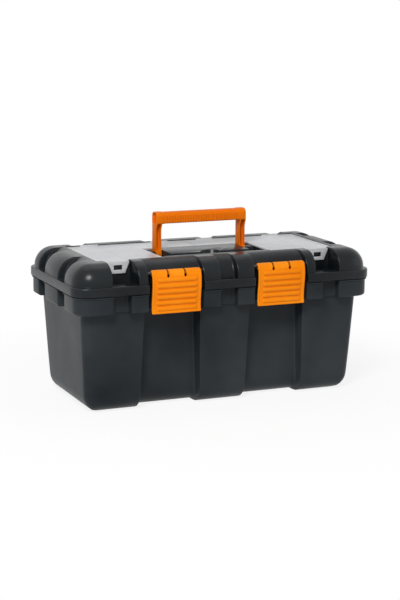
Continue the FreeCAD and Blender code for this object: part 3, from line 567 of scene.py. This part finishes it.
def stepped_block(levels, top_at, bottom_at, cuts_x, cuts_y):
    """A block built of cells, each filled from its own lower to its own upper level."""
    shape = bmesh.new()
    corners = {}

    def corner(i, j, k):
        if (i, j, k) not in corners:
            corners[i, j, k] = shape.verts.new(Vector((cuts_x[i], cuts_y[j], levels[k])) * MM)
        return corners[i, j, k]

    def filled(i, j, k):
        if not (0 <= i < len(cuts_x) - 1 and 0 <= j < len(cuts_y) - 1 and 0 <= k < len(levels) - 1):
            return False
        x = (cuts_x[i] + cuts_x[i + 1]) / 2
        y = (cuts_y[j] + cuts_y[j + 1]) / 2
        return bottom_at(x, y) - 0.01 < levels[k] and levels[k + 1] < top_at(x, y) + 0.01

    for i in range(len(cuts_x) - 1):
        for j in range(len(cuts_y) - 1):
            for k in range(len(levels) - 1):
                if not filled(i, j, k):
                    continue
                box = [corner(i + a, j + b, k + c) for c in (0, 1)
                       for a, b in ((0, 0), (1, 0), (1, 1), (0, 1))]
                for step, face in (((-1, 0, 0), (0, 4, 7, 3)), ((1, 0, 0), (1, 2, 6, 5)),
                                   ((0, -1, 0), (0, 1, 5, 4)), ((0, 1, 0), (3, 7, 6, 2)),
                                   ((0, 0, -1), (0, 3, 2, 1)), ((0, 0, 1), (4, 5, 6, 7))):
                    if not filled(i + step[0], j + step[1], k + step[2]):
                        shape.faces.new([box[number] for number in face])
    bmesh.ops.dissolve_limit(shape, angle_limit=math.radians(1), verts=shape.verts, edges=shape.edges)
    return shape


# Recess: half width, front, back, floor. Table: half width, front, top. Pin block: inner end, front.
# Rim: front, top. Scoop: radius, floor. Well: inner end, outer end, half depth, floor; its part
# behind the recess: inner end, front.
RECESS = (91.0, -67.5, 15.0, 212.0)
TABLE = (66.5, -45.5, 231.6)
PIN_BLOCK = (78.0, -9.0)
RIM = (-74.4, 232.52)
SCOOP = (16.5, 223.6)
WELL = (95.0, 196.0, 69.0, 203.0)
WELL_REAR = (1.5, 19.0)
JOIN = 0.6


def upper_level(x, y):
    """Top of the lid's inside at a place: covers' seat, wells, recess, its front rim and table."""
    x = abs(x)
    if WELL[0] < x < WELL[1] and abs(y) < WELL[2]:
        return WELL[3]
    if WELL_REAR[0] < x < WELL[0] + 1 and WELL_REAR[1] < y < WELL[2]:
        return WELL[3]
    if x < RECESS[0] and y < RECESS[1]:
        return RIM[1]
    if x < TABLE[0] and TABLE[1] < y < RECESS[2]:
        return TABLE[2]
    if x > PIN_BLOCK[0] and y > PIN_BLOCK[1]:
        return SEAT_Z
    if x < RECESS[0] and y < RECESS[2]:
        return RECESS[3]
    return SEAT_Z


def lower_level(x, y):
    """Underside of the same, a wall below it."""
    x = abs(x)
    if WELL[0] - WALL < x < WELL[1] + WALL and abs(y) < WELL[2] + WALL:
        return WELL[3] - WALL
    if x < WELL[0] and WELL_REAR[1] - WALL < y < WELL[2] + WALL:
        return WELL[3] - WALL
    if x < SCOOP[0] + WALL and TABLE[1] < y < TABLE[1] + SCOOP[0] + WALL:
        return SCOOP[1] - WALL
    if x < TABLE[0] - WALL and TABLE[1] + WALL < y:
        return SEAT_Z - WALL
    if x < RECESS[0] + WALL and RECESS[1] - WALL < y < RECESS[2] + WALL:
        return RECESS[3] - WALL
    return SEAT_Z - WALL


def plain_mesh(worked):
    """What its modifiers make of a helper, as a plain mesh; the helper goes."""
    bpy.context.view_layer.update()
    graph = bpy.context.evaluated_depsgraph_get()
    data = bpy.data.meshes.new_from_object(worked.evaluated_get(graph))
    worked.modifiers.clear()
    bpy.data.objects.remove(worked)
    return data


def cut_away(shape, tools):
    """Take closed shapes out of another; the result is a plain mesh."""
    blank = loose_object("blank", shape)
    cutters = [loose_object("cutter", tool) for tool in tools]
    for cutter in cutters:
        taking = blank.modifiers.new("taking", "BOOLEAN")
        taking.operation = "DIFFERENCE"
        taking.solver = "EXACT"
        taking.object = cutter
    data = plain_mesh(blank)
    for cutter in cutters:
        bpy.data.objects.remove(cutter)
    return data


def box_tool(low, high):
    """A plain box to cut with."""
    tool = bmesh.new()
    box_between(tool, low, high)
    return tool


def cone_tool(middle, radii, low, high):
    """A round tool with its narrow end down."""
    tool = bmesh.new()
    placed = Matrix.Translation((middle[0] * MM, middle[1] * MM, (low + high) / 2 * MM))
    bmesh.ops.create_cone(tool, cap_ends=True, segments=48, radius1=radii[0] * MM,
                          radius2=radii[1] * MM, depth=(high - low) * MM, matrix=placed)
    return tool


CRISP_ANGLE = math.radians(25)
FLAT_ANGLE = math.radians(1)


def softened(data, rounding):
    """A mesh taken up again, with its flat faces made whole and its crisp edges rounded."""
    shape = bmesh.new()
    shape.from_mesh(data)
    bmesh.ops.remove_doubles(shape, verts=shape.verts, dist=WELD)
    bmesh.ops.dissolve_limit(shape, angle_limit=FLAT_ANGLE, verts=shape.verts, edges=shape.edges)
    crisp = [edge for edge in shape.edges
             if len(edge.link_faces) == 2 and edge.calc_face_angle() > CRISP_ANGLE]
    round_edges(shape, crisp, rounding)
    return shape


def join(shape, part):
    """Add a mesh in work to another one."""
    data = bpy.data.meshes.new("part")
    part.to_mesh(data)
    part.free()
    shape.from_mesh(data)


COVER_PIN_Z = 230.35
KNUCKLE_PLACES = (-160.0, -40.0, 40.0, 160.0)

lid_ring = bmesh.new()
ring_shell(lid_ring, lid_rows(), lid_grooves(), closed=True)
notches = [box_tool((place - 15.5, 71.0, COVER_PIN_Z - 2.3), (place + 15.5, 78.1, LID_TOP + 5))
           for place in KNUCKLE_PLACES]
lid_shape = bmesh.new()
lid_shape.from_mesh(cut_away(lid_ring, notches))

block_x = sorted({sign * place for sign in (-1, 1) for place in (
    WELL_REAR[0], SCOOP[0] + WALL, TABLE[0] - WALL, TABLE[0], PIN_BLOCK[0], RECESS[0], WELL[0] - WALL,
    RECESS[0] + WALL, WELL[0], WELL[1], WELL[1] + WALL, SEAT[0] + JOIN)})
block_y = [RIM[0], -SEAT[1] - JOIN, -WELL[2] - WALL, RECESS[1] - WALL, -WELL[2], RECESS[1], TABLE[1],
           TABLE[1] + WALL, TABLE[1] + SCOOP[0] + WALL, PIN_BLOCK[1], RECESS[2], WELL_REAR[1] - WALL,
           RECESS[2] + WALL, WELL_REAR[1], WELL[2], WELL[2] + WALL, SEAT[1] + JOIN]
block_z = [WELL[3] - WALL, WELL[3], RECESS[3] - WALL, RECESS[3], SCOOP[1] - WALL, SEAT_Z - WALL, SEAT_Z,
           TABLE[2], RIM[1]]
inside = stepped_block(block_z, upper_level, lower_level, block_x, block_y)
scoop_tool = cone_tool((0, TABLE[1]), (SCOOP[0] - 1.9, SCOOP[0] + 0.6), SCOOP[1], TABLE[2] + 1.5)
join(lid_shape, softened(cut_away(inside, [scoop_tool]), 0.4))
arm_profile = arc(HINGE, KNUCKLE_R, 90, -175, 16) + [(122.6, 186.3), (120.6, 186.3), (120.6, 191.5)]
for sign in (-1, 1):
    eyed_plate(lid_shape, arm_profile, HINGE, HINGE_HOLE, sign * HINGE_X - KNUCKLE_HALF,
               sign * HINGE_X + KNUCKLE_HALF)
    rounded_bar(lid_shape, (sign * TAB_X - 5.75, -80.0, 219.4), (sign * TAB_X + 5.75, -77.0, 225.0), 0.5)
finished("lid_shell", lid_shape, LID_PLASTIC, "lid", ["lid"])

# ---------- Carrying handle ----------
# One moulding of orange polypropylene: a ribbed bar with open ends on two channelled legs. It folds
# forward about two short pins, so its feet are rounded about them.

HANDLE_PLASTIC = moulded("orange_handle", (218, 101, 0), (238, 134, 22), 0.36, specular_ior_level=0.07)


def grown_by_nodes(name, blank, tree, inputs):
    """Run a Geometry Nodes tree on an object and keep the result as a plain mesh."""
    growing = blank.modifiers.new(name, "NODES")
    growing.node_group = tree
    sockets = {item.name: item.identifier for item in tree.interface.items_tree
               if item.item_type == "SOCKET" and item.in_out == "INPUT"}
    for label, value in inputs.items():
        growing[sockets[label]] = value
    return plain_mesh(blank)


def ribs_along_path():
    """Rounded ribs set across a path at an even pitch, each turned to lie along it."""
    tree = bpy.data.node_groups.new("ribs_along_path", "GeometryNodeTree")
    for label, kind, value in (("Geometry", "NodeSocketGeometry", None), ("Ribs", "NodeSocketInt", 6),
                               ("Rib Size", "NodeSocketVector", (0.064, 0.007, 0.002)),
                               ("Cross Steps", "NodeSocketInt", 14), ("Tall Steps", "NodeSocketInt", 2),
                               ("Plastic", "NodeSocketMaterial", None)):
        socket = tree.interface.new_socket(name=label, in_out="INPUT", socket_type=kind)
        if value is not None:
            socket.default_value = value
    tree.interface.new_socket(name="Geometry", in_out="OUTPUT", socket_type="NodeSocketGeometry")
    given = tree.nodes.new("NodeGroupInput").outputs
    result = tree.nodes.new("NodeGroupOutput").inputs
    line = tree.nodes.new("GeometryNodeMeshToCurve")
    evenly = tree.nodes.new("GeometryNodeResampleCurve")
    rib = tree.nodes.new("GeometryNodeMeshCube")
    smooth = tree.nodes.new("GeometryNodeSubdivisionSurface")
    smooth.inputs["Level"].default_value = 2
    heading = tree.nodes.new("GeometryNodeInputTangent")
    turned = tree.nodes.new("FunctionNodeAlignRotationToVector")
    turned.axis = "Y"
    turned.pivot_axis = "AUTO"
    spread = tree.nodes.new("GeometryNodeInstanceOnPoints")
    real = tree.nodes.new("GeometryNodeRealizeInstances")
    coloured = tree.nodes.new("GeometryNodeSetMaterial")
    for start, end in ((given["Geometry"], line.inputs["Mesh"]),
                       (line.outputs["Curve"], evenly.inputs["Curve"]),
                       (given["Ribs"], evenly.inputs["Count"]),
                       (given["Rib Size"], rib.inputs["Size"]),
                       (given["Cross Steps"], rib.inputs["Vertices X"]),
                       (given["Tall Steps"], rib.inputs["Vertices Z"]),
                       (rib.outputs["Mesh"], smooth.inputs["Mesh"]),
                       (heading.outputs["Tangent"], turned.inputs["Vector"]),
                       (evenly.outputs["Curve"], spread.inputs["Points"]),
                       (smooth.outputs["Mesh"], spread.inputs["Instance"]),
                       (turned.outputs["Rotation"], spread.inputs["Rotation"]),
                       (spread.outputs["Instances"], real.inputs["Geometry"]),
                       (real.outputs["Geometry"], coloured.inputs["Geometry"]),
                       (given["Plastic"], coloured.inputs["Material"]),
                       (coloured.outputs["Geometry"], result["Geometry"])):
        tree.links.new(start, end)
    return tree


def path_object(points):
    """An open line of edges for a tree to follow."""
    data = bpy.data.meshes.new("path")
    data.from_pydata([Vector(point) * MM for point in points],
                     [(k, k + 1) for k in range(len(points) - 1)], [])
    blank = bpy.data.objects.new("path", data)
    bpy.context.scene.collection.objects.link(blank)
    return blank


RIBS_ALONG_PATH = ribs_along_path()
HANDLE_PIN = (1.0, 224.5)
HANDLE_EYE = 2.35
GRIP = (10.5, 272.5, 291.5)
GRIP_TOP_RADIUS = 7.5
GRIP_FOOT_RADIUS = 2.6
RIB_SINK = 0.8
LEG_X = (67.5, 77.0)
LEG_WALL = 1.5


def grip_loop(x, inset):
    """The bar's section, rounder over its top, drawn in by an inset."""
    half, low, high = GRIP[0] - inset, GRIP[1] + inset, GRIP[2] - inset
    top, foot = max(GRIP_TOP_RADIUS - inset, 0.4), max(GRIP_FOOT_RADIUS - inset, 0.4)
    corners = ((half - foot, low + foot, foot, 270), (half - top, high - top, top, 0),
               (top - half, high - top, top, 90), (foot - half, low + foot, foot, 180))
    points = []
    for y, z, radius, start in corners:
        points += arc((HANDLE_PIN[0] + y, z), radius, start, start + 90, 7)
    return [(x, y, z) for y, z in points]


handle_shape = bmesh.new()
end_line = [(73.4, 3.0), (73.4, 2.3), (76.2, 1.9), (76.75, 1.7), (77.0, 1.25), (77.0, 0.9), (76.8, 0.4),
            (76.3, 0.1), (75.6, 0.0), (66.0, 0.0), (64.8, 0.15), (63.8, 0.5), (63.0, 0.6)]
skin(handle_shape, [grip_loop(-x, inset) for x, inset in end_line]
     + [grip_loop(x, inset) for x, inset in reversed(end_line)])
for face_y in (HANDLE_PIN[0] - GRIP[0] + RIB_SINK, HANDLE_PIN[0] + GRIP[0] - RIB_SINK):
    grip_line = path_object([(-60.0 + 4 * k, face_y, GRIP[1] + 7.4) for k in range(31)])
    ribs = grown_by_nodes("grip_ribs", grip_line, RIBS_ALONG_PATH, {
        "Ribs": 28, "Rib Size": (0.0018, 0.0028, 0.0125), "Cross Steps": 2, "Tall Steps": 8,
        "Plastic": HANDLE_PLASTIC})
    handle_shape.from_mesh(ribs)
leg_outline = ([(11.0, 224.5), (10.6, 240.0), (10.4, 274.0), (-8.9, 274.0), (-8.6, 271.5), (-7.4, 268.6),
                (-5.9, 265.6), (-5.2, 261.0), (-5.2, 238.0), (-6.2, 231.5), (-7.5, 226.5)]
               + arc(HANDLE_PIN, 8.7, 185, 355, 14))
for sign in (-1, 1):
    leg = bmesh.new()
    eyed_plate(leg, leg_outline, HANDLE_PIN, HANDLE_EYE, *sorted((sign * LEG_X[0], sign * LEG_X[1])))
    near, far = sorted((sign * (LEG_X[0] + LEG_WALL), sign * (LEG_X[1] - LEG_WALL)))
    channels = [box_tool((near, -20, 231), (far, 0.4, 273)), box_tool((near, 5.2, 231), (far, 20, 270))]
    join(handle_shape, softened(cut_away(leg, channels), 0.35))
finished("handle_bar", handle_shape, HANDLE_PLASTIC, "handle", ["handle"])

# ---------- Latches ----------
# Two bowed plates of orange polypropylene on pins in the lid. Each has six pressing ribs across it,
# two notches that free its pin clips, and a hook that stops just short of the tub's catch.

LATCH_PLASTIC = moulded("orange_latch", (231, 123, 0), (252, 170, 44), 0.34, specular_ior_level=0.08)
LATCH_PIN = (-111.0, 215.5)
LATCH_HALF = 40.0
LATCH_CORNER = 1.5
BOSS_HALF = 37.6
BOSS_RADIUS = 4.5
BOSS_HOLE = 2.05
NOTCH_X = 14.0
LATCH_FACE = [(-111.6, 219.9), (-115.0, 219.7), (-118.0, 217.6), (-119.9, 214.2), (-121.2, 209.5),
              (-121.9, 204.0), (-121.9, 197.0), (-121.2, 188.0), (-120.0, 179.0), (-119.1, 171.0),
              (-118.9, 164.0), (-119.4, 158.5), (-120.6, 154.1)]
FRAME = 2.6
SUNK = 0.6


def smooth_line(points, steps):
    """A curve through the points, with a few steps to each stretch."""
    line = []
    padded = [points[0]] + list(points) + [points[-1]]
    for number in range(1, len(padded) - 2):
        a, b, c, d = (Vector(padded[number + k]) for k in (-1, 0, 1, 2))
        for step in range(steps):
            t = step / steps
            line.append(0.5 * (2 * b + (c - a) * t + (2 * a - 5 * b + 4 * c - d) * t * t
                               + (3 * b - a - 3 * c + d) * t ** 3))
    line.append(Vector(points[-1]))
    return line


def end_rounding(radius, left):
    """How far a rounded corner draws in where some length is left to the end."""
    return radius - math.sqrt(max(radius ** 2 - max(radius - left, 0.0) ** 2, 0.0))


def latch_plate(shape, middle):
    """The plate: a rounded section carried down the face line, narrowed at its two ends."""
    line = smooth_line(LATCH_FACE, 4)
    travelled = [0.0]
    for before, after in zip(line, line[1:]):
        travelled.append(travelled[-1] + (after - before).length)
    loops = []
    for number, place in enumerate(line):
        heading = (line[min(number + 1, len(line) - 1)] - line[max(number - 1, 0)]).normalized()
        inward = Vector((-heading.y, heading.x)) if -heading.y > 0 else Vector((heading.y, -heading.x))
        if number < 6:
            inward = Vector((-heading.y, heading.x))
        left = min(travelled[number], travelled[-1] - travelled[number])
        half = LATCH_HALF - end_rounding(LATCH_CORNER, left)
        top = end_rounding(1.0, left)
        low = WALL - top
        loop = []
        bend = min(1.1, (low - top) / 2 - 0.05)
        for centre_x, centre_d, start in ((half - bend, top + bend, 0), (half - bend, low - bend, 90),
                                          (bend - half, low - bend, 180), (bend - half, top + bend, 270)):
            for step in range(4):
                turn = math.radians(start + 30 * step)
                across = centre_x + bend * math.sin(turn)
                deep = centre_d - bend * math.cos(turn)
                spot = place + inward * deep
                loop.append((middle + across, spot.x, spot.y))
        for across, deep in ((FRAME - half, top), (FRAME + 0.8 - half, top + SUNK),
                             (half - FRAME - 0.8, top + SUNK), (half - FRAME, top)):
            spot = place + inward * min(deep, (top + low) / 2)
            loop.append((middle + across, spot.x, spot.y))
        loops.append(loop)
    skin(shape, loops)
    return line


def drop_tool(middle):
    """A notch that is narrow at the top of the latch and widens to a round foot."""
    outline = [(middle - 1.5, 224.0), (middle - 1.5, 216.0)]
    outline += arc((middle, 211.0), 2.3, 165, 375, 12)
    outline += [(middle + 1.5, 216.0), (middle + 1.5, 224.0)]
    tool = bmesh.new()
    skin(tool, [[(x, y, z) for x, z in outline] for y in (-128.0, -104.0)])
    return tool


for side, sign in (("left", -1), ("right", 1)):
    middle = sign * LATCH_X
    plate = bmesh.new()
    face_line = latch_plate(plate, middle)
    boss = bmesh.new()
    eyed_plate(boss, arc(LATCH_PIN, BOSS_RADIUS, 0, 345, 23), LATCH_PIN, BOSS_HOLE,
               middle - BOSS_HALF, middle + BOSS_HALF)
    latch_shape = bmesh.new()
    for part in (plate, boss):
        notches = [drop_tool(middle - NOTCH_X), drop_tool(middle + NOTCH_X)]
        latch_shape.from_mesh(cut_away(part, notches))
    rounded_bar(latch_shape, (middle - 20, -118.4, 161.4), (middle + 20, -111.8, 165.7), 0.6)
    rib_line = path_object([(middle, point.x, point.y) for point in face_line if 161.0 < point.y < 206.5])
    ribs = grown_by_nodes("latch_ribs", rib_line, RIBS_ALONG_PATH, {
        "Ribs": 6, "Rib Size": (0.066, 0.0068, 0.0038), "Cross Steps": 14, "Plastic": LATCH_PLASTIC})
    latch_shape.from_mesh(ribs)
    finished(f"latch_plate_{side}", latch_shape, LATCH_PLASTIC, f"latch_{side}",
             [f"latch_{side}"])

# ---------- Organiser covers ----------
# Two L-shaped covers of clear polypropylene, hinged along the back of their seat. A tab hangs over
# the front of the lid, where its window snaps over a lug.

CLEAR_PLASTIC = moulded("clear_cover", (208, 210, 213), (228, 230, 233), 0.3, drift=0.2, rubbing=0.1,
                        depth=0.02, transmission_weight=0.25)
clear = CLEAR_PLASTIC.node_tree
# Painted shade: faint darker lines on the clear cover where the dividers lie below it, and a slightly
# varying tone in the cells between them.
cell_place = clear.nodes.new("ShaderNodeTexCoord").outputs["Object"]
divider_shade_lines = add(clear, "ShaderNodeTexBrick", vector=cell_place, scale=1.0, mortar_size=0.0018,
            mortar_smooth=1.0, brick_width=0.0505, row_height=0.046, color1=(1, 1, 1, 1),
            color2=(0.94, 0.94, 0.95, 1), mortar=(0.80, 0.80, 0.81, 1))
divider_shade_lines.offset = 0.0
clear_base = clear.nodes["Principled BSDF"].inputs["Base Color"]
with_divider_shade = blend_colour(clear, clear_base.links[0].from_socket, divider_shade_lines.outputs["Color"], 1.0, way="MULTIPLY")
clear.links.new(with_divider_shade, clear_base)
WINDOW = (6.75, 218.6, 226.0)

for side, sign in (("left", -1), ("right", 1)):
    node = f"organiser_cover_{side}"
    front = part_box(node)[0].y / MM
    hole = box_tool((sign * TAB_X - WINDOW[0], front - 1, WINDOW[1]),
                    (sign * TAB_X + WINDOW[0], front + 3.2, WINDOW[2]))
    cover_shape = bmesh.new()
    cover_shape.from_mesh(cut_away(softened(bpy.data.objects[node].data, 0.35), [hole]))
    rounded_bar(cover_shape, (sign * TAB_X - WINDOW[0] - 0.8, front + 0.05, WINDOW[1] - 3.4),
                (sign * TAB_X + WINDOW[0] + 0.8, front + 2.4, WINDOW[1]), 0.3)
    finished(f"clear_cover_{side}", cover_shape, CLEAR_PLASTIC, f"cover_{side}", [node])

# ---------- Tool tray and dividers ----------
# A lift-out tray rests on the tub's inner shoulder. Loose plates divide it and the two organisers;
# each plate is moulded with a bead along its upper edge.

TRAY_PLASTIC = moulded("charcoal_tray", (38, 40, 42), (80, 82, 84), 0.45)
DIVIDER_PLASTIC = moulded("grey_divider", (120, 124, 128), (170, 172, 175), 0.45)
BEAD_TALL = 2.4
BEAD_OUT = 0.35
BEAD_SHORT = 0.6

finished("lift_out_tray", softened(bpy.data.objects["tool_tray"].data, 0.5), TRAY_PLASTIC, "tub",
         ["tool_tray"])
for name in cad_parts:
    if "divider" not in name:
        continue
    low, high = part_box(name)
    plate = softened(bpy.data.objects[name].data, 0.3)
    thin = 0 if high.x - low.x < high.y - low.y else 1
    bead_low = [low.x / MM + BEAD_SHORT, low.y / MM + BEAD_SHORT, high.z / MM - BEAD_TALL]
    bead_high = [high.x / MM - BEAD_SHORT, high.y / MM - BEAD_SHORT, high.z / MM]
    bead_low[thin] = low[thin] / MM - BEAD_OUT
    bead_high[thin] = high[thin] / MM + BEAD_OUT
    rounded_bar(plate, bead_low, bead_high, 0.7)
    finished(name + "_plate", plate, DIVIDER_PLASTIC, "tub" if name.startswith("tray") else "lid",
             [name])

# ---------- Pins ----------
# Drawn steel wire in the lid's and the covers' hinges; short black pins carry the handle and latches.

STEEL = moulded("drawn_steel", (170, 172, 174), (220, 221, 223), 0.32, metallic=1.0)
PIN_PLASTIC = moulded("black_pin", (30, 31, 33), (70, 72, 74), 0.4)
CROWN = 0.4 * MM


def domed_pin(node, material, body):
    """A round pin along X whose ends are slightly domed."""
    low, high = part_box(node)
    radius = (high.z - low.z) / 2
    middle = (low + high) / 2
    bend = min(CROWN, radius * 0.4)
    stations = [(low.x, radius - bend), (low.x + bend * 0.3, radius - bend * 0.3),
                (low.x + bend, radius), (high.x - bend, radius),
                (high.x - bend * 0.3, radius - bend * 0.3), (high.x, radius - bend)]
    turns = [math.tau * step / 20 for step in range(20)]
    shape = bmesh.new()
    skin(shape, [[Vector((x, middle.y + reach * math.cos(turn), middle.z + reach * math.sin(turn))) / MM
                  for turn in turns] for x, reach in stations])
    finished(node + "_rod", shape, material, body, [node])


for side in ("left", "right"):
    domed_pin(f"lid_hinge_pin_{side}", STEEL, "tub")
    domed_pin(f"cover_hinge_pin_{side}", STEEL, "lid")
    domed_pin(f"handle_pin_{side}", PIN_PLASTIC, "lid")
    domed_pin(f"latch_pin_{side}", PIN_PLASTIC, "lid")

# ---------- Floor, light and camera ----------
# A white sheet under the box, a soft lamp high on the left, a fill from the right, a weak one above
# and a pale sky. The sheet keeps a faint shadow near the box and turns white away from it.

# Metres: the sheet's radius, and where it begins to turn white and is white.
FLOOR_RADIUS = 6.0
CLOSE = 0.3
AWAY = 0.6
SKY_LIGHT = 0.28

floor_mesh = bmesh.new()
bmesh.ops.create_circle(floor_mesh, cap_ends=True, segments=96, radius=FLOOR_RADIUS)
floor = loose_object("floor_sheet", floor_mesh)
floor_paper = bpy.data.materials.new("white_sheet")
floor_paper.use_nodes = True
paper = floor_paper.node_tree
paper_shader = paper.nodes["Principled BSDF"]
paper_shader.inputs["Roughness"].default_value = 0.9
paper_shader.inputs["Specular IOR Level"].default_value = 0.1
spot = paper.nodes.new("ShaderNodeTexCoord").outputs["Object"]
fibre = add(paper, "ShaderNodeTexNoise", vector=spot, scale=30.0, detail=4.0).outputs["Fac"]
paper.links.new(blend_colour(paper, (0.90, 0.90, 0.90, 1), (0.93, 0.93, 0.93, 1), fibre),
                paper_shader.inputs["Base Color"])
glow = paper.nodes.new("ShaderNodeEmission")
glow.inputs["Color"].default_value = (1, 1, 1, 1)
far = paper.nodes.new("ShaderNodeVectorMath")
far.operation = "LENGTH"
paper.links.new(spot, far.inputs[0])


def seen_or_mirrored(tree):
    """1 for rays from the camera and those that glossy or clear surfaces send on, else 0."""
    rays = tree.nodes.new("ShaderNodeLightPath").outputs
    sent_on = calculated(tree, "MAXIMUM", rays["Is Glossy Ray"], rays["Is Transmission Ray"])
    return calculated(tree, "MAXIMUM", rays["Is Camera Ray"], sent_on)


whiteness = blend_value(paper, 0.86, 1.0, ramp(paper, far.outputs["Value"], CLOSE, AWAY))
joined = paper.nodes.new("ShaderNodeMixShader")
paper.links.new(calculated(paper, "MULTIPLY", whiteness, seen_or_mirrored(paper)), joined.inputs[0])
paper.links.new(paper_shader.outputs[0], joined.inputs[1])
paper.links.new(glow.outputs[0], joined.inputs[2])
paper.links.new(joined.outputs[0], paper.nodes["Material Output"].inputs["Surface"])
floor.data.materials.append(floor_paper)

world = bpy.data.worlds.new("pale_sky")
bpy.context.scene.world = world
world.use_nodes = True
sky = world.node_tree
backdrop = sky.nodes["Background"]
backdrop.inputs["Color"].default_value = (1, 1, 1, 1)
sky.links.new(blend_value(sky, SKY_LIGHT, 1.0, seen_or_mirrored(sky)), backdrop.inputs["Strength"])


def soft_lamp(name, place, aim, size, power):
    """A square area lamp that looks at a point."""
    data = bpy.data.lights.new(name, "AREA")
    data.shape = "RECTANGLE"
    data.size = size[0]
    data.size_y = size[1]
    data.energy = power
    lamp = bpy.data.objects.new(name, data)
    lamp.location = place
    lamp.rotation_euler = (Vector(aim) - Vector(place)).to_track_quat("-Z", "Y").to_euler()
    bpy.context.scene.collection.objects.link(lamp)


soft_lamp("key_softbox", (-1.3, -1.7, 1.95), (0, 0, 0.15), (0.8, 0.8), 61)
soft_lamp("fill_softbox", (1.9, -1.2, 0.9), (0, 0, 0.12), (1.2, 1.2), 3)
soft_lamp("top_softbox", (0.0, 0.6, 2.2), (0, 0, 0.2), (1.8, 1.2), 6)

AZIMUTH, ELEVATION, ROLL = (math.radians(angle) for angle in (-23.42, 11.16, 0.43))
camera_data = bpy.data.cameras.new("camera")
camera_data.lens = 94.38
camera_data.sensor_width = 36.0
camera = bpy.data.objects.new("camera", camera_data)
bpy.context.scene.collection.objects.link(camera)
back = Vector((math.sin(AZIMUTH) * math.cos(ELEVATION), -math.cos(AZIMUTH) * math.cos(ELEVATION),
               math.sin(ELEVATION)))
right = Vector((math.cos(AZIMUTH), math.sin(AZIMUTH), 0))
up = back.cross(right)
across = right * math.cos(ROLL) + up * math.sin(ROLL)
upward = up * math.cos(ROLL) - right * math.sin(ROLL)
turn = Matrix((across, upward, back)).transposed()
camera.matrix_world = Matrix.Translation((-0.98393, -2.27562, 0.63423)) @ turn.to_4x4()
bpy.context.scene.camera = camera

bpy.context.scene.view_settings.view_transform = "Standard"
